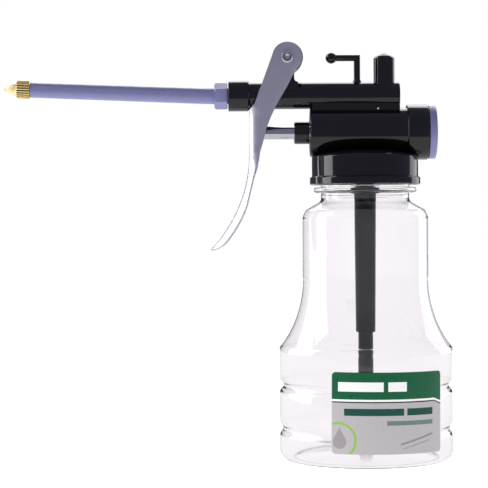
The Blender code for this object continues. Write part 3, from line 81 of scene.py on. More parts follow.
def close_editing():
    """Merge doubled points, turn the faces outwards and leave the piece."""
    select_points()
    bpy.ops.mesh.remove_doubles(threshold=WELD)
    bpy.ops.mesh.normals_make_consistent(inside=False)
    bpy.ops.object.mode_set(mode="OBJECT")


def pick(piece, wanted):
    """Select the faces of an open piece whose middle passes a test."""
    bpy.ops.mesh.select_all(action="DESELECT")
    bpy.ops.object.mode_set(mode="OBJECT")
    for face in piece.data.polygons:
        face.select = wanted(face)
    bpy.ops.object.mode_set(mode="EDIT")
    bpy.context.tool_settings.mesh_select_mode = (False, False, True)


def shade(piece, angle=35.0):
    """Shade a piece smooth apart from its real edges."""
    alone(piece)
    bpy.ops.object.shade_smooth_by_angle(angle=math.radians(angle))


def apply(piece, kind, **settings):
    """Add a modifier with its settings and apply it."""
    alone(piece)
    modifier = piece.modifiers.new(kind.lower(), kind)
    for name, value in settings.items():
        setattr(modifier, name, value)
    bpy.ops.object.modifier_apply(modifier=modifier.name)


def soften(piece, width, angle=40.0, segments=2):
    """Round a piece's edges."""
    apply(piece, "BEVEL", width=width * MM, segments=segments, limit_method="ANGLE",
          angle_limit=math.radians(angle), harden_normals=False)


def merge_solid(piece, other, operation="UNION"):
    """Join another solid to a piece, or cut it away."""
    apply(piece, "BOOLEAN", object=other, operation=operation, solver="EXACT")
    bpy.data.objects.remove(other, do_unlink=True)


def rounded(outline, steps=5):
    """An outline in metres, with an arc at each corner that has a radius as its third number."""
    spots = []
    for i, corner in enumerate(outline):
        here = Vector(corner[:2]) * MM
        if len(corner) == 2:
            spots.append(here)
            continue
        before = (Vector(outline[i - 1][:2]) * MM - here).normalized()
        after = (Vector(outline[i + 1][:2]) * MM - here).normalized()
        half = before.angle(after) / 2
        centre = here + (before + after).normalized() * (corner[2] * MM / math.sin(half))
        arm = before * (corner[2] * MM / math.tan(half)) + here - centre
        other_arm = after * (corner[2] * MM / math.tan(half)) + here - centre
        sweep = math.atan2(arm.cross(other_arm), arm.dot(other_arm))
        for step in range(steps + 1):
            spots.append(centre + Matrix.Rotation(sweep * step / steps, 2) @ arm)
    return spots


def arc(centre, radius, start, end, count):
    """Points on an arc, in millimetres, both ends included."""
    spots = []
    for i in range(count + 1):
        angle = math.radians(start + (end - start) * i / count)
        spots.append((centre[0] + radius * math.cos(angle), centre[1] + radius * math.sin(angle)))
    return spots


def bulge(half, rise, base, angles):
    """Points on a quarter of an ellipse, in millimetres, at angles in degrees."""
    turns = [math.radians(angle) for angle in angles]
    return [(half * math.cos(turn), base + rise * math.sin(turn)) for turn in turns]


def disc(name, corners, radius, fill="NGON"):
    """A flat disc round the origin, or a bare ring, with a number of corners."""
    bpy.ops.object.select_all(action="DESELECT")
    bpy.ops.mesh.primitive_circle_add(vertices=corners, radius=radius * MM, fill_type=fill,
                                      location=(0.0, 0.0, 0.0))
    piece = bpy.context.object
    piece.name = name
    return piece


def drawn(name, spots):
    """Draw a line through points, from one corner of a plane, and leave it open for editing."""
    bpy.ops.object.select_all(action="DESELECT")
    bpy.ops.mesh.primitive_plane_add(size=MM, location=(0.0, 0.0, 0.0))
    piece = bpy.context.object
    piece.name = name
    piece.data.name = name
    editing(piece)
    bpy.ops.mesh.merge(type="CENTER")
    bpy.ops.transform.translate(value=spots[0])
    for before, after in zip(spots, spots[1:]):
        extrude(after - before)
    return piece


def turned(name, outline, axis="Z", at=UPRIGHT_AXIS, steps=96, angle=35.0):
    """Turn an outline of (radius, place along the axis) about an axis."""
    across, along = {"X": (Vector((0, 0, 1)), Vector((1, 0, 0))),
                     "Y": (Vector((0, 0, 1)), Vector((0, 1, 0))),
                     "Z": (Vector((1, 0, 0)), Vector((0, 0, 1)))}[axis]
    spots = [at + across * spot.x + along * spot.y for spot in rounded(outline)]
    piece = drawn(name, spots)
    select_points()
    bpy.ops.mesh.spin(steps=steps, angle=math.tau, center=at, axis=along)
    close_editing()
    shade(piece, angle)
    return piece


def cross_pin(name, radius, at, steps=48):
    """A long pin across the can's width, to cut a hole with."""
    outline = [(0.0, -9.0), (radius, -9.0), (radius, 9.0), (0.0, 9.0)]
    return turned(name, outline, axis="Y", at=at, steps=steps)


def slab(name, outline, half_thickness):
    """Cut an outline of (x, z) from a plate that stands across the can's width."""
    shift = Vector((BOTTLE_AXIS * MM, -half_thickness * MM, 0.0))
    spots = [shift + Vector((spot.x, 0.0, spot.y)) for spot in rounded(outline)]
    piece = drawn(name, spots + spots[:1])
    select_points()
    bpy.ops.mesh.remove_doubles(threshold=WELD)
    bpy.ops.mesh.edge_face_add()
    extrude((0.0, 2 * half_thickness * MM, 0.0))
    close_editing()
    return piece


def block(name, low, high):
    """A block between two corners, in millimetres from the bottle's axis."""
    middle = (Vector(low) + Vector(high)) / 2
    bpy.ops.object.select_all(action="DESELECT")
    bpy.ops.mesh.primitive_cube_add(size=1.0, location=(0.0, 0.0, 0.0))
    piece = bpy.context.object
    piece.name = name
    editing(piece)
    select_points()
    bpy.ops.transform.resize(value=(Vector(high) - Vector(low)) * MM, center_override=(0.0, 0.0, 0.0))
    bpy.ops.transform.translate(value=(middle + Vector((BOTTLE_AXIS, 0.0, 0.0))) * MM)
    close_editing()
    return piece


def faceted(name, corners, radius, low, high, centre, turn=0.0, shares=(1.0,)):
    """A straight prism along X, whose corners stand at shares of its radius in turn."""
    piece = disc(name, corners, radius)
    for i, vert in enumerate(piece.data.vertices):
        vert.co *= shares[i % len(shares)]
    editing(piece)
    select_points()
    bpy.ops.transform.rotate(value=turn, orient_axis="Z", center_override=(0.0, 0.0, 0.0))
    bpy.ops.transform.rotate(value=math.pi / 2, orient_axis="Y", center_override=(0.0, 0.0, 0.0))
    bpy.ops.transform.translate(value=centre + Vector((low * MM, 0.0, 0.0)))
    extrude(((high - low) * MM, 0.0, 0.0))
    close_editing()
    return piece


# Bottle and label

MOUTH = 118.5
NECK_RADIUS = 17.6
RING_RADIUS = 20.4
WAIST_RADIUS = 25.0
WAIST_LOW = 72.0
BODY_RADIUS = 34.6
FLARE_DROP = 27.2
FOOT_ROUND = 4.2
STANDING_WIDTH = 2.2
BASE_RISE = 4.5
WALL = 0.9
# Each groove's height and depth.
GROOVES = ((30.0, 1.6), (12.9, 1.2))
GROOVE_HALF = 3.0


def body_radius(height):
    """The wide body's outer radius at a height, with its two grooves."""
    radius = BODY_RADIUS
    for middle, depth in GROOVES:
        share = (height - middle) / GROOVE_HALF
        if abs(share) < 1.0:
            radius -= depth * (1.0 + math.cos(math.pi * share)) / 2.0
    return radius


def shell_outline(inset):
    """The bottle's side from the shoulder's top down to the foot's corner."""
    waist = WAIST_RADIUS - inset
    outline = [(NECK_RADIUS - inset, 103.2, 2.0 + inset), (23.9 - inset, 99.6 - inset * 0.6, 3.2 - inset),
               (waist, 96.8 - inset * 0.5, 1.8)]
    turn = 2.0 * math.atan((BODY_RADIUS - WAIST_RADIUS) / FLARE_DROP)
    sweep = FLARE_DROP / math.sin(turn)
    for i in range(25):
        angle = turn * i / 24
        outline.append((waist + sweep * (1.0 - math.cos(angle)), WAIST_LOW - sweep * math.sin(angle)))
    outline.append((BODY_RADIUS - inset, 43.0, 3.0 - inset))
    for middle, _depth in GROOVES:
        for i in range(17):
            height = middle + GROOVE_HALF * (1.0 - i / 8)
            outline.append((body_radius(height) - inset, height))
    outline += arc((BODY_RADIUS - FOOT_ROUND, FOOT_ROUND), FOOT_ROUND - inset, 0, -90, 8)
    return outline


def make_bottle():
    """The blown bottle: threaded neck, carrying ring, shoulder, waist, grooved body and base."""
    crest = NECK_RADIUS + 0.7
    outline = [(NECK_RADIUS - WALL, MOUTH), (NECK_RADIUS, MOUTH)]
    for turn in range(3):
        thread = MOUTH - 1.9 - turn * 2.4
        outline += [(NECK_RADIUS, thread + 0.6, 0.15), (crest, thread + 0.25, 0.2),
                    (crest, thread - 0.25, 0.2), (NECK_RADIUS, thread - 0.6, 0.15)]
    outline += [(NECK_RADIUS, 108.6, 0.3), (RING_RADIUS, 108.6, 0.5), (RING_RADIUS, 106.7, 0.5),
                (NECK_RADIUS, 106.7, 0.4)]
    outline += shell_outline(0.0)
    foot = BODY_RADIUS - FOOT_ROUND - STANDING_WIDTH
    angles = [7.5 * i for i in range(12)]
    outline += bulge(foot, BASE_RISE, 0.0, angles) + [(0.0, BASE_RISE), (0.0, BASE_RISE + WALL)]
    outline += bulge(foot + STANDING_WIDTH / 2, BASE_RISE, WALL, reversed(angles))
    outline += list(reversed(shell_outline(WALL))) + [(NECK_RADIUS - WALL, MOUTH)]
    return turned("bottle_shell", outline, steps=128, angle=50.0)


LABEL_START = math.radians(-25.6)
LABEL_END = math.radians(50.5)
LABEL_RADIUS = 35.12
LABEL_LOW = 6.0
LABEL_TOP = 37.3
LABEL_TILT = math.radians(-0.4)


def make_label():
    """The thin label with rounded corners, bent round the bottle's front."""
    width = LABEL_RADIUS * (LABEL_END - LABEL_START)
    height = LABEL_TOP - LABEL_LOW
    corner = 1.5
    outline = []
    for centre, start in (((width / 2 - corner, height / 2 - corner), 0),
                          ((corner - width / 2, height / 2 - corner), 90),
                          ((corner - width / 2, corner - height / 2), 180),
                          ((width / 2 - corner, corner - height / 2), 270)):
        outline += arc(centre, corner, start, start + 90, 8)
    crooked = Matrix.Rotation(LABEL_TILT, 3, "Z")
    spots = [crooked @ Vector((x, y, 0.0)) * MM for x, y in outline]
    piece = drawn("label_sheet", spots + spots[:1])
    select_points()
    bpy.ops.mesh.remove_doubles(threshold=WELD)
    bpy.ops.mesh.edge_face_add()
    columns = 56
    for i in range(1, columns):
        select_points()
        place = width * (i / columns - 0.5) * MM
        bpy.ops.mesh.bisect(plane_co=(place, 0.0, 0.0), plane_no=(1.0, 0.0, 0.0))
    bpy.ops.object.mode_set(mode="OBJECT")
    for vert in piece.data.vertices:
        angle = LABEL_START + (vert.co.x / MM + width / 2) / LABEL_RADIUS
        height = (LABEL_TOP + LABEL_LOW) / 2 + vert.co.y / MM
        vert.co = UPRIGHT_AXIS + Vector((LABEL_RADIUS * math.sin(angle),
                                         -LABEL_RADIUS * math.cos(angle), height)) * MM
    apply(piece, "SOLIDIFY", thickness=0.22 * MM, offset=-1.0)
    shade(piece, 40.0)
    return piece


# Pump head

HOOK_X = -3.0
HOOK_TIP = -13.3
HOOK_HEIGHT = 160.4
HOOK_RADIUS = 1.28
HOOK_BALL_RADIUS = 2.25
PIN_HOLE_RADIUS = 1.7


def make_hook():
    """The bent hook with its ball end, standing on the barrel."""
    foot = turned("hook", [(0.0, 149.0), (1.9, 149.0), (1.9, 150.5, 0.3), (HOOK_RADIUS, 151.9, 0.8),
                           (HOOK_RADIUS, 153.0), (0.0, 153.0)],
                  at=UPRIGHT_AXIS + Vector((HOOK_X * MM, 0.0, 0.0)), steps=32)
    start = 152.5
    rod = disc("hook_rod", 32, HOOK_RADIUS, "NOTHING")
    editing(rod)
    select_points()
    bpy.ops.transform.translate(value=UPRIGHT_AXIS + Vector((HOOK_X, 0.0, start)) * MM)
    for move in ((0.0, 0.0, (HOOK_HEIGHT - start) * MM), ((HOOK_TIP - HOOK_X) * MM, 0.0, 0.0)):
        extrude(move)
    select_points()
    bpy.ops.mesh.fill_holes(sides=0)
    close_editing()
    # The ring at the corner leans to the mitre, and the arm's last ring stands upright.
    corner = UPRIGHT_AXIS.x + HOOK_X * MM
    tip = UPRIGHT_AXIS.x + HOOK_TIP * MM
    for vert in rod.data.vertices:
        at_tip = vert.co.x < (corner + tip) / 2
        if vert.co.z > (HOOK_HEIGHT - 1.0) * MM:
            vert.co.z += vert.co.x - (tip if at_tip else corner)
        if at_tip:
            vert.co.x = tip
    outline = arc((0.0, 0.0), HOOK_BALL_RADIUS, -80, 80, 16)
    ball = turned("hook_ball", [(0.0, -HOOK_BALL_RADIUS)] + outline + [(0.0, HOOK_BALL_RADIUS)],
                  axis="X", at=UPRIGHT_AXIS + Vector((HOOK_TIP, 0.0, HOOK_HEIGHT)) * MM, steps=32)
    merge_solid(foot, rod)
    merge_solid(foot, ball)
    return foot


def make_ear():
    """The ear across the barrel that carries the trigger's pin."""
    radius = 6.1
    middle = -30.8
    back = 2.6
    root = 147.5
    end = math.degrees(math.atan2(-math.sqrt(radius ** 2 - back ** 2), back))
    outline = [(middle - radius, root)] + arc((middle, PIVOT.z / MM), radius, 180, end, 40)
    outline += [(middle + back, 150.7, 1.4), (-26.7, 150.7), (-26.7, root)]
    ear = slab("ear", outline, 5.2)
    soften(ear, 0.35, 50.0)
    merge_solid(ear, cross_pin("ear_hole", PIN_HOLE_RADIUS, PIVOT), "DIFFERENCE")
    return ear


def make_barrel():
    """The discharge barrel with its front collar, open at the front for the spout's nut."""
    return turned("head_moulding", [
        (0.0, 13.9), (5.3, 13.9, 0.5), (5.3, -45.8, 0.5), (6.1, -46.6, 0.5), (6.1, -54.5, 0.45),
        (4.5, -54.5, 0.2), (4.5, -47.0), (0.0, -47.0)], axis="X", at=BARREL_AXIS)


def make_pump_cylinder():
    """The pump cylinder with its rear collar, open at the front for the rod."""
    return turned("pump_cylinder", [
        (0.0, 17.9), (9.0, 17.9), (9.0, 25.0, 0.15), (11.0, 25.0, 0.45), (11.0, 16.7, 0.35),
        (9.7, 16.7, 0.3), (9.7, -21.9, 0.4), (3.9, -21.9), (3.9, -16.5), (0.0, -16.5)],
        axis="X", at=PUMP_AXIS, steps=128)


def make_dome():
    """The dome, the skirt with its lower band, and the hollow under them with the stem's boss."""
    ceiling = 120.3
    rim = 109.8
    skirt = 21.2
    outline = [(0.0, ceiling + 4.0)] + bulge(skirt + 0.4, 4.0, ceiling, range(86, 12, -4))
    outline += [(skirt, ceiling + 0.6, 0.5), (skirt, 113.0, 0.2), (21.9, 112.65, 0.1), (22.0, 112.4, 0.1),
                (22.0, rim, 0.3), (18.8, rim, 0.3), (18.8, ceiling), (6.2, ceiling), (6.2, rim), (0.0, rim)]
    return turned("dome", outline, steps=160)


def make_head():
    """The one moulding of the pump head."""
    head = make_barrel()
    web = block("web", (-21.1, -4.2, 130.6), (13.85, 4.2, 146.0))
    soften(web, 0.5, 50.0)
    merge_solid(head, web)
    merge_solid(head, make_pump_cylinder())
    merge_solid(head, make_dome())
    merge_solid(head, make_ear())
    post = turned("post", [(0.0, 162.6), (0.4, 162.5), (3.4, 161.0, 0.1), (4.16, 160.2, 0.15),
                           (4.16, 146.0), (0.0, 146.0)],
                  at=UPRIGHT_AXIS + Vector((7.8 * MM, 0.0, 0.0)), steps=64)
    merge_solid(head, post)
    merge_solid(head, make_hook())
    pinhole_place = UPRIGHT_AXIS + Vector((5.2, 0.0, 139.9)) * MM
    merge_solid(head, cross_pin("pinhole", 0.4, pinhole_place, 24), "DIFFERENCE")
    shade(head, 32.0)
    return head


def make_end_cap():
    """The screwed plug in the rear collar, with a low dome."""
    radius = 10.6
    face = 27.9
    outline = [(0.0, face + 0.9)] + bulge(radius, 0.9, face, range(84, 0, -6))
    outline += [(radius, face), (radius, 25.3, 0.2), (8.7, 25.3), (8.7, 19.4), (0.0, 19.4)]
    return turned("end_plug", outline, axis="X", at=PUMP_AXIS)


def make_gland():
    """The collar that the rod slides through."""
    outline = [(2.8, -22.2), (4.5, -22.2, 0.15), (4.5, -28.2, 0.5), (2.8, -28.2, 0.25), (2.8, -22.2)]
    return turned("rod_gland", outline, axis="X", at=PUMP_AXIS, steps=64)


def make_rod():
    """The polished plunger rod with its domed tip."""
    radius = 2.6
    dome = -42.4
    outline = [(0.0, -14.7), (radius, -14.7)] + arc((0.0, dome), radius, 0, -86, 12)
    outline += [(0.0, dome - radius)]
    return turned("polished_rod", outline, axis="X", at=PUMP_AXIS, steps=64)


# Spout

NUT_FRONT = -60.0
NUT_REAR = -54.8
TUBE_START = -41.8
TUBE_TIP = -133.6
RISE_BLEND = 6.0
RISE_ANGLE = math.radians(2.3)
RISE_SLOPE = math.tan(RISE_ANGLE)


def rise(x):
    """How far the spout's axis stands over the barrel's axis at x, in millimetres."""
    run = NUT_FRONT - x
    if run <= 0.0:
        return 0.0
    if run < RISE_BLEND:
        return RISE_SLOPE * run * run / (2 * RISE_BLEND)
    return RISE_SLOPE * (run - RISE_BLEND / 2)


def make_tube():
    """The long spout tube, which rises slightly from the nut to its tip."""
    root_radius = 3.15
    tip_radius = 3.0
    bore = 1.9
    places = [TUBE_START, -54.5, NUT_FRONT, -61.5, -63.0, -64.5, -66.0, -80.0, -95.0, -110.0, -125.0]
    taper = (root_radius - tip_radius) / (NUT_FRONT - TUBE_TIP)
    outline = [(root_radius - taper * max(0.0, NUT_FRONT - x), x) for x in places]
    outline += [(tip_radius, TUBE_TIP, 0.3), (bore, TUBE_TIP, 0.2)] + [(bore, x) for x in reversed(places)]
    outline += [(root_radius, TUBE_START)]
    piece = turned("long_tube", outline, axis="X", at=BARREL_AXIS, steps=48)
    for vert in piece.data.vertices:
        vert.co.z += rise(vert.co.x / MM - BOTTLE_AXIS) * MM
    return piece


def make_nut():
    """The hexagonal nut with chamfered corners and a collar towards the barrel."""
    nut = faceted("spout_hexagon", 6, 5.25, NUT_FRONT, NUT_REAR, BARREL_AXIS, math.pi / 6)
    chamfer = turned("nut_chamfer", [(0.0, NUT_REAR), (4.9, NUT_REAR), (5.3, NUT_REAR - 0.4), (5.3, -59.3),
                                     (4.7, NUT_FRONT), (0.0, NUT_FRONT)], axis="X", at=BARREL_AXIS)
    merge_solid(nut, chamfer, "INTERSECT")
    bore = turned("nut_bore", [(0.0, -50.0), (3.35, -50.0), (3.35, -65.0), (0.0, -65.0)], axis="X",
                  at=BARREL_AXIS, steps=64)
    merge_solid(nut, bore, "DIFFERENCE")
    soften(nut, 0.2, 25.0)
    shade(nut, 30.0)
    return nut


def make_nozzle():
    """The brass nozzle: a knurled collar and an ogive tip with its orifice."""
    origin = Vector((0.0, 0.0, 0.0))
    pose = Matrix.Translation(BARREL_AXIS + Vector((TUBE_TIP, 0.0, rise(TUBE_TIP))) * MM)
    pose = pose @ Matrix.Rotation(RISE_ANGLE, 4, "Y")
    cone_radius = 2.7
    tip = -10.5
    cone = [(cone_radius * (1.0 - 0.83 * share ** 1.5), -5.7 - 4.8 * share)
            for share in (0.9, 0.8, 0.6, 0.4, 0.2, 0.0)]
    outline = [(0.25, -4.0), (0.25, tip), (0.46, tip, 0.08)] + cone + [(cone_radius, -4.0), (0.25, -4.0)]
    nozzle = turned("brass_nozzle", outline, axis="X", at=origin, steps=64, angle=50.0)
    teeth = 22
    rear = -0.1
    front = -5.4
    tooth = (1.0, 0.965, 0.84, 0.965)
    collar = faceted("knurled_collar", teeth * len(tooth), 3.58, rear, front, origin, shares=tooth)
    outline = [(0.5, rear), (3.2, rear), (3.65, rear - 0.4), (3.65, front + 0.35), (3.2, front),
               (0.5, front), (0.5, rear)]
    chamfer = turned("collar_chamfer", outline, axis="X", at=origin)
    merge_solid(collar, chamfer, "INTERSECT")
    merge_solid(nozzle, collar)
    nozzle.data.transform(pose)
    shade(nozzle, 30.0)
    return nozzle


# Suction side

def make_stem():
    """The suction stem: a flange and a long taper with a rounded lower end."""
    outline = [(1.4, 114.2), (3.4, 114.2, 0.3), (3.6, 108.8), (5.8, 108.8, 0.3), (5.8, 107.2, 0.4),
               (4.4, 106.8, 0.3), (4.3, 100.0), (3.9, 51.5), (3.9, 50.8, 0.5), (3.15, 50.8, 0.1),
               (3.15, 60.8), (1.4, 60.8), (1.4, 114.2)]
    return turned("long_stem", outline, steps=64)


def make_ring(name, inner, outer, low, high, steps):
    """A thin flat ring with rounded outer edges."""
    outline = [(inner, high), (outer, high, 0.1), (outer, low, 0.1), (inner, low), (inner, high)]
    return turned(name, outline, steps=steps)


def make_dip_tube():
    """The tube under the stem."""
    outline = [(2.0, 60.5), (2.95, 60.5), (2.95, 44.0, 0.2), (2.0, 44.0), (2.0, 60.5)]
    return turned("dip_pipe", outline, steps=48)


def make_strainer():
    """The slotted inlet strainer, with a spigot in the tube."""
    piece = turned("slotted_strainer", [
        (1.35, 48.0), (1.8, 48.0, 0.2), (1.8, 43.0), (3.04, 43.0, 0.3), (3.04, 41.6, 0.2),
        (2.85, 41.3, 0.2), (2.85, 40.7, 0.2), (3.04, 40.4, 0.2), (3.04, 9.0, 0.3), (2.14, 9.0, 0.2),
        (2.14, 42.1), (1.35, 42.1), (1.35, 48.0)], steps=48)
    for turn in range(4):
        spin = Matrix.Translation(UPRIGHT_AXIS) @ Matrix.Rotation(math.pi / 4 * turn, 4, "Z")
        for low in (12.0, 18.5):
            slot = block("slot", (-6.0, -0.45, low), (6.0, 0.45, low + 5.0))
            slot.data.transform(spin @ Matrix.Translation(-UPRIGHT_AXIS))
            merge_solid(piece, slot, "DIFFERENCE")
    shade(piece)
    return piece


# Trigger

# The cheek's front and back edges: how far down from the pivot, then how far back from it.
CHEEK_FRONT = ((-1.8, -5.6), (18.5, -13.0))
CHEEK_BACK = ((5.7, 3.0), (11.9, -0.2), (18.7, -4.2), (21.3, -5.6), (27.2, -8.0), (32.5, -9.4),
              (37.45, -10.9))
# The dish's depth at angles along the blade's bend, in degrees.
BLADE_DEPTHS = ((0.0, 4.3), (5.6, 3.4), (9.0, 2.5), (12.3, 2.1), (17.7, 2.25), (22.5, 2.8), (29.0, 2.9),
                (44.0, 2.5))
HALF_WIDTH = 6.7
FOLD = 3.6
FOLD_BACK = 5.4
TOP_FOLD_BACK = 2.2
HEAD_RADIUS = 5.95
REACH = 15.2
WEB_TOP_DROP = 18.45
WEB_TOP_RISE = 2.8
BLADE_START = 37.45
BLADE_RADIUS = 56.0
BLADE_TURN = math.radians(43.95)
DISH_RADIUS = 8.5
TIP_HALF_WIDTH = 1.2
SHEET = 0.9
CHEEK_POINTS = 5


def eased(table, place):
    """Read a smooth curve through a table of (place, value) pairs."""
    if place <= table[0][0]:
        return table[0][1]
    if place >= table[-1][0]:
        return table[-1][1]
    row = next(i for i in range(1, len(table)) if place <= table[i][0])

    def slope(i):
        low, high = table[max(i - 1, 0)], table[min(i + 1, len(table) - 1)]
        return (high[1] - low[1]) / (high[0] - low[0])

    (x0, y0), (x1, y1) = table[row - 1], table[row]
    step = x1 - x0
    t = (place - x0) / step
    return (y0 * (2 * t ** 3 - 3 * t ** 2 + 1) + slope(row - 1) * step * (t ** 3 - 2 * t ** 2 + t)
            + y1 * (3 * t ** 2 - 2 * t ** 3) + slope(row) * step * (t ** 3 - t ** 2))


def folded_section(depth, half_width, fold, back):
    """Half of the sheet's section as (sideways, backwards), from the web's middle to the edge."""
    if depth >= fold:
        flat = half_width - fold
        back = min(back, depth - 0.4)
        points = [(flat * share, 0.0) for share in (0.0, 0.35, 0.7, 1.0)]
        for step in range(1, 7):
            turn = math.pi / 2 * step / 6
            points.append((flat + fold * math.sin(turn), back * (1.0 - math.cos(turn))))
        points += [(half_width, back + (depth - back) * share) for share in (0.25, 0.5, 0.75, 1.0)]
        return points
    turn = math.acos(1.0 - depth / fold)
    flat = max(half_width - fold * math.sin(turn), half_width * 0.1)
    points = [(flat * share, 0.0) for share in (0.0, 0.35, 0.7, 1.0)]
    for step in range(1, 11):
        angle = turn * step / 10
        points.append((flat + (half_width - flat) * math.sin(angle) / math.sin(turn),
                       fold * (1.0 - math.cos(angle))))
    return points


def head_rows():
    """Rows of the flat cheek over the web: each is a list of (back, sideways, down)."""
    spans = []
    for angle in (6, 14, 23, 33, 43, 53, 62, 71.3, 81):
        turn = math.radians(angle)
        front = min(-HEAD_RADIUS * math.sin(turn), 0.0)
        drop = -HEAD_RADIUS * math.cos(turn)
        if drop > CHEEK_FRONT[0][0]:
            front = eased(CHEEK_FRONT, drop)
        spans.append((drop, front, HEAD_RADIUS * math.sin(turn)))
    for share in (0.0, 0.15, 0.3, 0.45, 0.6, 0.77):
        drop = HEAD_RADIUS * share
        spans.append((drop, eased(CHEEK_FRONT, drop), math.sqrt(HEAD_RADIUS ** 2 - drop ** 2)))
    start = CHEEK_BACK[0][0]
    for i in range(9):
        drop = start + (WEB_TOP_DROP - start) * i / 9
        spans.append((drop, eased(CHEEK_FRONT, drop), eased(CHEEK_BACK, drop)))
    rows = []
    for drop, front, back in spans:
        rows.append([(front + (back - front) * i / (CHEEK_POINTS - 1), HALF_WIDTH, drop)
                     for i in range(CHEEK_POINTS)])
    return rows


def lower_rows():
    """Rows of the folded channel and the dished blade, down to the rounded tip."""
    rows = []
    for i in range(13):
        drop = WEB_TOP_DROP + (BLADE_START - WEB_TOP_DROP) * i / 12
        depth = eased(CHEEK_BACK, drop) + REACH
        back = TOP_FOLD_BACK + (FOLD_BACK - TOP_FOLD_BACK) * min(i / 3, 1.0)
        row = []
        for sideways, backwards in folded_section(depth, HALF_WIDTH, FOLD, back):
            slope = WEB_TOP_RISE * max(0.0, 1.0 - backwards / TOP_FOLD_BACK) * max(0.0, 1.0 - i / 3)
            row.append((backwards - REACH, sideways, drop + slope))
        rows.append(row)
    tip_turn = HALF_WIDTH / BLADE_RADIUS
    round_start = BLADE_TURN - tip_turn
    last = math.sqrt(1.0 - (TIP_HALF_WIDTH / HALF_WIDTH) ** 2)
    turns = [round_start * i / 30 for i in range(1, 31)]
    turns += [round_start + tip_turn * last * share
              for share in (0.2, 0.38, 0.54, 0.68, 0.79, 0.88, 0.95, 1.0)]
    for turn in turns:
        over = max(0.0, (turn - round_start) / tip_turn)
        narrow = math.sqrt(1.0 - over ** 2)
        depth = eased(BLADE_DEPTHS, math.degrees(turn)) * narrow ** 2
        fold = FOLD + (DISH_RADIUS - FOLD) * min(turn / math.radians(14.0), 1.0)
        row = []
        for sideways, backwards in folded_section(depth, HALF_WIDTH * narrow, fold, FOLD_BACK):
            arm = BLADE_RADIUS + backwards
            row.append((arm * math.cos(turn) - BLADE_RADIUS - REACH, sideways,
                        BLADE_START + arm * math.sin(turn)))
        rows.append(row)
    return rows


def make_trigger():
    """The trigger, folded from one sheet: two cheeks, a web and a dished, curved blade.

    A grid is laid out row by row, because the folds run out into a dish that no fold tool makes.
    """
    upper = head_rows()
    lower = lower_rows()
    columns = len(lower[0])
    missing = columns - CHEEK_POINTS
    rows = [[row[0]] * missing + row for row in upper] + lower
    bpy.ops.object.select_all(action="DESELECT")
    bpy.ops.mesh.primitive_grid_add(x_subdivisions=columns - 1, y_subdivisions=len(rows) - 1, size=MM,
                                    location=(0.0, 0.0, 0.0))
    piece = bpy.context.object
    piece.name = "folded_trigger"
    for i, vert in enumerate(piece.data.vertices):
        back, sideways, drop = rows[i // columns][i % columns]
        vert.co = PIVOT + Vector((back, sideways, -drop)) * MM
    editing(piece)
    pick(piece, lambda face: all(vert // columns < len(upper) for vert in face.vertices[:2])
         and min(vert % columns for vert in face.vertices) < missing)
    bpy.ops.mesh.delete(type="FACE")
    bpy.context.tool_settings.mesh_select_mode = (True, False, False)
    select_points()
    bpy.ops.mesh.delete_loose()
    select_points()
    bpy.ops.mesh.remove_doubles(threshold=WELD)
    bpy.ops.object.mode_set(mode="OBJECT")
    if piece.data.polygons[0].normal.y < 0.0:
        piece.data.flip_normals()
    apply(piece, "MIRROR", use_axis=(False, True, False), merge_threshold=WELD)
    apply(piece, "SOLIDIFY", thickness=SHEET * MM, offset=-1.0, use_even_offset=True)
    merge_solid(piece, cross_pin("cheek_hole", PIN_HOLE_RADIUS, PIVOT), "DIFFERENCE")
    soften(piece, 0.16, 60.0)
    shade(piece, 45.0)
    return piece


def make_rivet():
    """The trigger's rivet, with a dished and lipped head on each side."""
    side = [(0.0, 6.75), (0.35, 6.6, 0.1), (0.7, 6.75, 0.1), (1.1, 6.9, 0.1), (1.95, 8.4, 0.12),
            (2.45, 8.1, 0.1), (2.55, 7.6, 0.1), (2.55, 7.0, 0.05), (1.5, 7.0)]
    outline = side + [(r, -along, *round_) for r, along, *round_ in reversed(side)]
    return turned("dished_rivet", outline, axis="Y", at=PIVOT, steps=64)


# Finishes

def tone(red, green, blue):
    """A colour as it shows on screen, as the numbers that the shaders use."""
    return tuple(pow((c / 255 + 0.055) / 1.055, 2.4) if c > 10 else c / 255 / 12.92
                 for c in (red, green, blue)) + (1.0,)


class Reading:
    """A number that varies over a surface, which can be worked with as a number."""

    def __init__(self, finish, socket):
        self.finish = finish
        self.socket = socket

    def math(self, operation, first, second=0.0):
        return self.finish.node("ShaderNodeMath", {"operation": operation}, {0: first, 1: second})

    def __add__(self, other):
        return self.math("ADD", self, other)

    def __sub__(self, other):
        return self.math("SUBTRACT", self, other)

    def __mul__(self, other):
        return self.math("MULTIPLY", self, other)

    def __truediv__(self, other):
        return self.math("DIVIDE", self, other)

    def __gt__(self, other):
        return self.math("GREATER_THAN", self, other)

    def __lt__(self, other):
        return self.math("LESS_THAN", self, other)


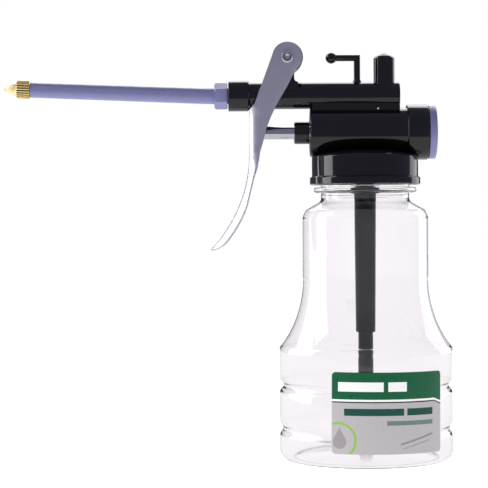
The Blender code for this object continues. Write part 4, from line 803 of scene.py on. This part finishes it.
class Finish:
    """A material in the making: its nodes, and the readings that they give."""

    def __init__(self, name):
        self.material = bpy.data.materials.new(name)
        self.material.use_nodes = True
        self.tree = self.material.node_tree
        self.shader = self.tree.nodes["Principled BSDF"]
        self.output = self.tree.nodes["Material Output"]
        self.place = self.node("ShaderNodeTexCoord", {}, {}, "Object")

    def node(self, kind, settings, inputs, output=0):
        """Add a node, with its settings first and then the values or links of its sockets."""
        node = self.tree.nodes.new(kind)
        for name, value in settings.items():
            setattr(node, name, value)
        for name, value in inputs.items():
            self.feed(node.inputs[name], value)
        return Reading(self, node.outputs[output])

    def feed(self, socket, value):
        """Give a socket a value, or link a reading to it."""
        if isinstance(value, Reading):
            self.tree.links.new(value.socket, socket)
        else:
            socket.default_value = value

    def set(self, **values):
        """Set the shader's own sockets by name."""
        for name, value in values.items():
            self.feed(self.shader.inputs[name.replace("_", " ")], value)

    def noise(self, scale, detail=2.0, rough=0.5, stretch=(1.0, 1.0, 1.0)):
        """Soft noise from 0 to 1, at a number of waves in a metre, which may be stretched."""
        vector = self.node("ShaderNodeMapping", {"vector_type": "POINT"},
                           {"Vector": self.place, "Scale": stretch})
        return self.node("ShaderNodeTexNoise", {}, {"Vector": vector, "Scale": scale, "Detail": detail,
                                                    "Roughness": rough})

    def blend(self, share, first, second):
        """Mix two colours by a share."""
        return self.node("ShaderNodeMix", {"data_type": "RGBA"}, {0: share, 6: first, 7: second}, 2)

    def spread(self, value, low, high, new_low=0.0, new_high=1.0):
        """Carry a reading from one range to another, and hold it there."""
        return self.node("ShaderNodeMapRange", {"clamp": True}, {
            "Value": value, "From Min": low, "From Max": high, "To Min": new_low, "To Max": new_high})

    def bump(self, height, strength, distance):
        """Raise the surface by a reading."""
        sockets = {"Strength": strength, "Distance": distance, "Height": height}
        return self.node("ShaderNodeBump", {}, sockets)

    def parts(self):
        """The coordinates as three readings."""
        node = self.tree.nodes.new("ShaderNodeSeparateXYZ")
        self.feed(node.inputs[0], self.place)
        return [Reading(self, output) for output in node.outputs]


def moulded(name, color, rough, mottle=0.06, grain=0.02, specular=0.5):
    """Moulded plastic: slight mottling, a soft ripple and a fine grain."""
    finish = Finish(name)
    ripple = finish.noise(180.0, 3.0)
    fine = finish.noise(2600.0, 2.0)
    darker = tuple(c * (1.0 - mottle) for c in color[:3]) + (1.0,)
    lighter = tuple(min(c * (1.0 + mottle), 1.0) for c in color[:3]) + (1.0,)
    finish.set(Base_Color=finish.blend(ripple, darker, lighter),
               Roughness=finish.spread(ripple + fine * 0.35, 0.35, 1.0, rough * 0.85, rough * 1.2),
               IOR=1.5, Specular_IOR_Level=specular,
               Normal=finish.bump(ripple * 0.7 + fine * 0.3, 0.5, grain * MM))
    return finish.material


def make_clear_plastic():
    """Clear blown plastic, faintly tinted, with slow waves and a few specks."""
    finish = Finish("clear_bottle_plastic")
    wave = finish.noise(70.0, 2.0, 0.4, (1.0, 1.0, 0.45))
    speck = finish.noise(900.0, 2.0)
    finish.set(Base_Color=finish.blend(wave, tone(254, 251, 254), tone(255, 253, 255)), IOR=1.45,
               Transmission_Weight=1.0, Specular_IOR_Level=0.2,
               Roughness=finish.spread(speck, 0.55, 0.8, 0.03, 0.08),
               Normal=finish.bump(wave, 0.35, 0.12 * MM))
    light = finish.node("ShaderNodeLightPath", {}, {}, "Is Shadow Ray")
    open_to_light = finish.node("ShaderNodeBsdfTransparent", {}, {"Color": tone(240, 240, 243)})
    mixed = finish.tree.nodes.new("ShaderNodeMixShader")
    finish.feed(mixed.inputs[0], light)
    finish.tree.links.new(finish.shader.outputs[0], mixed.inputs[1])
    finish.feed(mixed.inputs[2], open_to_light)
    finish.tree.links.new(mixed.outputs[0], finish.output.inputs["Surface"])
    return finish.material


def make_black(name, rough):
    """Glossy black plastic with a faint flow ripple and fine dust scratches."""
    finish = Finish(name)
    flow = finish.noise(120.0, 3.0, 0.5, (0.5, 1.0, 1.0))
    dust = finish.noise(1500.0, 4.0, 0.6, (0.35, 1.0, 1.0))
    finish.set(Base_Color=finish.blend(flow, tone(6, 6, 9), tone(11, 11, 15)), IOR=1.5,
               Roughness=finish.spread(dust, 0.4, 0.75, rough * 0.8, rough * 1.6),
               Normal=finish.bump(flow * 0.9 + dust * 0.1, 0.25, 0.02 * MM))
    return finish.material


def make_sheet_steel():
    """Plated sheet steel: satin, with rolling marks down the sheet and a few handling scratches."""
    finish = Finish("plated_sheet_steel")
    rolled = finish.noise(2400.0, 3.0, 0.6, (1.0, 1.0, 0.04))
    cloud = finish.noise(90.0, 3.0)
    scratch = finish.noise(700.0, 2.0, 0.5, (1.0, 1.0, 0.12))
    mark = finish.spread(scratch, 0.68, 0.74)
    base = finish.blend(cloud, tone(200, 201, 208), tone(208, 209, 215))
    finish.set(Base_Color=finish.blend(mark * 0.35, base, tone(232, 232, 236)), Metallic=1.0,
               Roughness=finish.spread(rolled + cloud * 0.5, 0.4, 1.1, 0.30, 0.44),
               Normal=finish.bump(rolled * 0.7 + mark * 0.3, 0.35, 0.008 * MM))
    return finish.material


def make_polished(name, color, rough, lines):
    """Turned metal with fine tool lines round its axis."""
    finish = Finish(name)
    tool_lines = finish.noise(3000.0, stretch=lines)
    tarnish = finish.noise(260.0, 3.0)
    dull = tuple(c * 0.86 for c in color[:3]) + (1.0,)
    finish.set(Base_Color=finish.blend(finish.spread(tarnish, 0.4, 0.75), color, dull), Metallic=1.0,
               Roughness=finish.spread(tool_lines + tarnish * 0.4, 0.4, 1.0, rough * 0.7, rough * 1.4),
               Normal=finish.bump(tool_lines, 0.3, 0.006 * MM))
    return finish.material


def make_brass():
    """Turned brass, bright on the knurl's crests, with painted shade in its grooves, a painted highlight in
    the cone's pale colour, and dark at its tip.
    """
    finish = Finish("turned_brass")
    x, y, z = finish.parts()
    start = (BOTTLE_AXIS + TUBE_TIP) * MM
    height = z + x * RISE_SLOPE - (BARREL_AXIS.z + rise(TUBE_TIP) * MM + start * RISE_SLOPE)
    reach = finish.node("ShaderNodeMath", {"operation": "SQRT"}, {0: y * y + height * height})
    # Painted shade: a mask of the knurl's grooves, used below to darken them.
    groove = finish.spread(reach, 3.24 * MM, 3.5 * MM, 1.0, 0.0)
    groove = groove * (x > start - 5.25 * MM) * (x < start - 0.3 * MM)
    tip = finish.spread(x, start - 10.6 * MM, start - 9.4 * MM, 0.7, 0.0)
    lines = finish.noise(3000.0, 2.0, 0.5, (1.0, 0.02, 0.02))
    tarnish = finish.noise(260.0, 3.0)
    color = finish.blend(finish.spread(tarnish, 0.4, 0.75), tone(252, 224, 152), tone(238, 202, 124))
    # Painted shade: the knurl's grooves turn a near black-brown.
    color = finish.blend(groove, color, tone(30, 16, 2))
    # Painted highlight: the cone gets a pale cream colour and less metal, standing in for the bright
    # reflection on it.
    cone = finish.spread(x, start - 5.7 * MM, start - 5.42 * MM, 1.0, 0.0)
    color = finish.blend(cone, color, tone(250, 226, 178))
    color = finish.blend(tip, color, tone(120, 98, 62))
    wear = finish.spread(lines + tarnish * 0.4 + groove * 0.5, 0.4, 1.4, 0.2, 0.5)
    finish.set(Base_Color=color, Metallic=finish.spread(cone, 0.0, 1.0, 0.55, 0.4),
               Roughness=wear + cone * 0.15, Normal=finish.bump(lines, 0.1, 0.004 * MM))
    return finish.material


def make_label_film():
    """The printed film: a green band over a pale field, plain bars and an oil drop.

    u runs along the label and v up it, both in millimetres from its middle.
    """
    finish = Finish("printed_label_film")
    x, y, z = finish.parts()
    around = finish.node("ShaderNodeMath", {"operation": "ARCTAN2"},
                         {0: x - BOTTLE_AXIS * MM, 1: y * -1.0})
    level_u = (around - (LABEL_START + LABEL_END) / 2) * LABEL_RADIUS
    level_v = z * 1000.0 - (LABEL_TOP + LABEL_LOW) / 2
    u = level_u + level_v * LABEL_TILT
    v = level_v - level_u * LABEL_TILT

    def box(left, right, low, top):
        return (u > left) * (u < right) * (v > low) * (v < top)

    ink = finish.noise(400.0, 2.0)
    fold = finish.spread(u, 19.5, 22.6)
    line = v + fold * 1.1 - 3.55
    field = finish.blend(ink, tone(176, 172, 175), tone(178, 174, 177))
    green = finish.blend(ink, tone(3, 87, 54), tone(5, 91, 57))
    dark = tone(14, 58, 46)
    color = finish.blend(line > 0.45, field, dark)
    color = finish.blend(line > 0.95, color, tone(240, 240, 240))
    color = finish.blend(line > 1.75, color, green)
    # Plain bars where a label's words would be.
    words = box(-20.8, -3.3, 8.3, 11.9) + box(-1.5, 6.0, 8.3, 11.9)
    color = finish.blend(words, color, tone(238, 240, 238))
    title = box(-18.4, 4.9, -0.9, 1.8) + box(6.2, 18.4, -0.9, 1.8)
    color = finish.blend(title, color, tone(12, 72, 62))
    note = box(-1.9, 18.4, -4.6, -2.9)
    color = finish.blend(note, color, tone(104, 122, 118))
    slant = v - u * 0.25
    remark = (u > 3.6) * (u < 18.4) * (slant > -13.2) * (slant < -12.5)
    remark = remark + (u > 4.5) * (u < 16.5) * (slant > -14.95) * (slant < -14.65)
    color = finish.blend(remark, color, tone(124, 134, 132))
    # A curved stripe round the oil drop.
    arm_x = u + 20.6
    arm_y = v + 10.5
    arm = finish.node("ShaderNodeMath", {"operation": "SQRT"}, {0: arm_x * arm_x + arm_y * arm_y})
    color = finish.blend((arm > 6.2) * (arm < 7.1), color, tone(136, 184, 84))
    # An oil drop: a disc with a pointed top.
    across = (u + 20.2) / 2.7
    up = v + 11.0
    round_part = ((across * across + (up / 2.7) * (up / 2.7)) < 1.0)
    width = finish.spread(up, 0.8, 5.6, 2.58, 0.0)
    side = finish.node("ShaderNodeMath", {"operation": "ABSOLUTE"}, {0: u + 20.2})
    point = (side < width) * (up > 0.8)
    drop = finish.node("ShaderNodeMath", {"operation": "MAXIMUM"}, {0: round_part, 1: point})
    color = finish.blend(drop, color, tone(150, 144, 148))
    finish.set(Base_Color=color, Roughness=finish.spread(ink, 0.3, 0.7, 0.26, 0.36), IOR=1.5,
               Specular_IOR_Level=0.3,
               Normal=finish.bump(ink, 0.02, 0.01 * MM))
    return finish.material


def make_finishes():
    """All the finishes, by the record's slots where they have one."""
    round_x = (1.0, 0.02, 0.02)
    return {
        "clear_plastic": make_clear_plastic(),
        "label_film": make_label_film(),
        "black_plastic": make_black("gloss_black_plastic", 0.08),
        "dull_black_plastic": moulded("dull_black_plastic", tone(20, 20, 26), 0.45, 0.3, 0.05, 0.2),
        "stem_black": moulded("stem_black_plastic", tone(8, 8, 14), 0.34, 0.2, 0.04, 0.1),
        "lilac_plastic": moulded("lilac_plastic", tone(119, 121, 166), 0.36, 0.05, 0.01, 0.65),
        "white_plastic": moulded("white_plastic", tone(238, 238, 240), 0.4, 0.03),
        "rubber": moulded("black_rubber", tone(30, 30, 31), 0.6, 0.15, 0.04),
        "sheet_steel": make_sheet_steel(),
        "polished_steel": make_polished("polished_steel", tone(194, 194, 199), 0.08, round_x),
        "rivet_steel": make_polished("rivet_steel", tone(202, 203, 210), 0.26, (0.3, 1.0, 0.3)),
        "spring_steel": make_polished("spring_steel", tone(176, 176, 182), 0.3, (1.0, 1.0, 1.0)),
        "brass": make_brass(),
    }


def fit(piece, finish, slot, body, *nodes):
    """Give a piece its finish, its body and the solids that it stands for."""
    piece.data.materials.clear()
    piece.data.materials.append(finish)
    for face in piece.data.polygons:
        face.material_index = 0
    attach(piece, body)
    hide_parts(*nodes)


def press_spring(node):
    """Give a coil spring its own copy of its mesh."""
    spring = bpy.data.objects[node]
    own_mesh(spring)


# Light, floor and camera

def make_floor():
    """A pale floor that reaches past the view and keeps the can's shadow."""
    bpy.ops.object.select_all(action="DESELECT")
    bpy.ops.mesh.primitive_grid_add(x_subdivisions=8, y_subdivisions=8, size=3.0, location=(0.0, 0.0, 0.0))
    floor = bpy.context.object
    floor.name = "studio_floor"
    editing(floor)
    select_points()
    bpy.ops.transform.translate(value=(0.0, 1.17, -0.0002))
    bpy.ops.object.mode_set(mode="OBJECT")
    finish = Finish("pale_floor")
    soft = finish.noise(40.0, 3.0)
    finish.set(Base_Color=finish.blend(soft, tone(236, 236, 237), tone(239, 239, 240)), Roughness=0.9,
               Specular_IOR_Level=0.0)
    tree = finish.tree
    paths = tree.nodes.new("ShaderNodeLightPath")
    glow = []
    # How bright the floor is to the camera, to diffuse rays, and to mirrored or refracted rays.
    for strength in (0.92, 1.9, 0.95):
        emission = tree.nodes.new("ShaderNodeEmission")
        emission.inputs["Strength"].default_value = strength
        glow.append(emission.outputs[0])

    def joined(kind, *sources):
        node = tree.nodes.new(kind)
        for i, source in enumerate(sources):
            tree.links.new(source, node.inputs[i])
        return node

    seen = joined("ShaderNodeAddShader", finish.shader.outputs[0], glow[0])
    sharp = joined("ShaderNodeMath", paths.outputs["Is Glossy Ray"], paths.outputs["Is Transmission Ray"])
    sharp.operation = "MAXIMUM"
    unseen = joined("ShaderNodeMixShader", sharp.outputs[0], glow[1], glow[2])
    shown = joined("ShaderNodeMixShader", paths.outputs["Is Camera Ray"], unseen.outputs[0], seen.outputs[0])
    tree.links.new(shown.outputs[0], finish.output.inputs["Surface"])
    floor.data.materials.append(finish.material)


def make_world():
    """White behind the can, and a soft studio round it for light and reflections."""
    world = bpy.data.worlds.new("studio")
    bpy.context.scene.world = world
    world.use_nodes = True
    tree = world.node_tree
    nodes = tree.nodes
    nodes.clear()

    def add(kind, inputs, output=0, **settings):
        node = nodes.new(kind)
        for name, value in settings.items():
            setattr(node, name, value)
        for name, value in inputs.items():
            if hasattr(value, "links"):
                tree.links.new(value, node.inputs[name])
            else:
                node.inputs[name].default_value = value
        return node.outputs[output]

    def work(operation, first, second):
        return add("ShaderNodeMath", {0: first, 1: second}, operation=operation)

    def ramp(value, low, high, new_low, new_high):
        return add("ShaderNodeMapRange", {"Value": value, "From Min": low, "From Max": high,
                                          "To Min": new_low, "To Max": new_high},
                   interpolation_type="SMOOTHSTEP")

    def choose(share, first, second):
        return add("ShaderNodeMix", {0: share, 2: first, 3: second}, data_type="FLOAT")

    rays = nodes.new("ShaderNodeLightPath").outputs
    where = nodes.new("ShaderNodeSeparateXYZ")
    tree.links.new(nodes.new("ShaderNodeTexCoord").outputs["Generated"], where.inputs[0])
    x, y, z = where.outputs
    diffuse = 0.2
    glossy = ramp(y, 0.45, 0.85, 0.33, 0.17)
    sides = work("ABSOLUTE", x, 0.0)
    through = work("MULTIPLY", ramp(z, 0.3, 0.8, 1.0, 0.75), ramp(sides, 0.3, 0.9, 1.0, 0.75))
    level = choose(rays["Is Glossy Ray"], diffuse, glossy)
    level = choose(rays["Is Transmission Ray"], level, through)
    level = choose(rays["Is Camera Ray"], level, 1.0)
    # Mirrored rays see a bluish studio. Refracted rays count as glossy too, so they are taken off.
    mirrored = work("SUBTRACT", rays["Is Glossy Ray"], rays["Is Transmission Ray"])
    tint = add("ShaderNodeMix", {0: mirrored, 6: (1.0, 1.0, 1.0, 1.0), 7: (0.72, 0.72, 1.0, 1.0)}, 2,
               data_type="RGBA")
    background = add("ShaderNodeBackground", {"Color": tint, "Strength": level})
    output = nodes.new("ShaderNodeOutputWorld")
    tree.links.new(background, output.inputs["Surface"])


BODY_MIDDLE = (0.03, 0.0, 0.12)


def softbox(name, place, aim, width, height, power, mirrored=True):
    """A rectangular lamp aimed at a point, which may be kept out of reflections."""
    bpy.ops.object.select_all(action="DESELECT")
    bpy.ops.object.light_add(type="AREA", location=place)
    lamp = bpy.context.object
    lamp.name = name
    lamp.data.shape = "RECTANGLE"
    lamp.data.size = width
    lamp.data.size_y = height
    lamp.data.energy = power
    lamp.visible_glossy = mirrored
    lamp.visible_transmission = False
    lamp.rotation_euler = (Vector(aim) - Vector(place)).to_track_quat("-Z", "Y").to_euler()


def make_camera():
    """A long lens at the height of the bottle's middle, with the photograph's slight roll."""
    place = Vector((0.0062, -0.72, 0.0923))
    aim = Vector((0.0062, 0.0, 0.0863))
    bpy.ops.object.select_all(action="DESELECT")
    bpy.ops.object.camera_add(location=place)
    camera = bpy.context.object
    camera.name = "studio_camera"
    camera.data.lens = 132.8
    camera.data.sensor_width = 36.0
    look = (aim - place).to_track_quat("-Z", "Y").to_matrix()
    camera.rotation_euler = (look @ Matrix.Rotation(math.radians(-0.3), 3, "Z")).to_euler()
    bpy.context.scene.camera = camera


def make_studio():
    """The floor, the lamps, the world and the camera."""
    make_floor()
    make_world()
    softbox("left_softbox", (-0.78, 0.18, 0.35), BODY_MIDDLE, 0.82, 0.9, 8.8)
    softbox("rear_softbox", (0.655, 0.459, 0.2), (0.05, 0.0, 0.12), 0.5, 0.6, 1.6)
    softbox("top_softbox", (0.03, 0.62, 0.66), BODY_MIDDLE, 1.0, 0.55, 5.5)
    softbox("front_softbox", (-0.2, -0.7, 0.8), (0.03, 0.0, 0.1), 0.6, 0.5, 2.2, mirrored=False)
    bpy.context.scene.view_settings.view_transform = "Standard"
    make_camera()


def main():
    """Make every piece that shows, and give the hidden ones their finish."""
    finishes = make_finishes()
    black = finishes["black_plastic"]
    lilac = finishes["lilac_plastic"]
    white = finishes["white_plastic"]
    fit(make_bottle(), finishes["clear_plastic"], "clear_plastic", "bottle", "bottle")
    fit(make_label(), finishes["label_film"], "label_film", "bottle", "label")
    fit(make_head(), black, "black_plastic", "head", "pump_housing")
    fit(make_end_cap(), lilac, "lilac_plastic", "head", "end_cap")
    fit(make_gland(), black, "black_plastic", "head", "gland_nut")
    fit(make_tube(), lilac, "lilac_plastic", "head", "spout_tube")
    fit(make_nut(), lilac, "lilac_plastic", "head", "spout_nut")
    fit(make_nozzle(), finishes["brass"], "brass", "head", "nozzle")
    fit(make_stem(), finishes["stem_black"], "black_plastic", "head", "suction_stem")
    washer = make_ring("white_washer", 3.9, 5.8, 109.1, 109.5, 64)
    fit(washer, white, "white_plastic", "head", "stem_washer")
    fit(make_dip_tube(), finishes["stem_black"], "black_plastic", "head", "dip_tube")
    foot_ring = make_ring("white_ring", 2.2, 2.95, 43.3, 43.7, 48)
    fit(foot_ring, white, "white_plastic", "head", "strainer_ring")
    fit(make_strainer(), finishes["dull_black_plastic"], "dull_black_plastic", "head", "inlet_strainer")
    fit(make_rivet(), finishes["rivet_steel"], "sheet_steel", "head", "trigger_pin")
    fit(make_trigger(), finishes["sheet_steel"], "sheet_steel", "trigger", "trigger")
    fit(make_rod(), finishes["polished_steel"], "polished_steel", "plunger", "plunger_rod")
    hidden = {
        "white_plastic": ("piston", "neck_gasket", "spout_ferrule"),
        "rubber": ("piston_ring", "rod_seal", "end_cap_seal"),
        "spring_steel": ("return_spring", "outlet_spring"),
        "polished_steel": ("inlet_ball", "outlet_ball"),
    }
    for finish, nodes in hidden.items():
        for node in nodes:
            for slot in bpy.data.objects[node].material_slots:
                slot.material = finishes[finish]
    press_spring("return_spring")
    press_spring("outlet_spring")
    make_studio()


main()
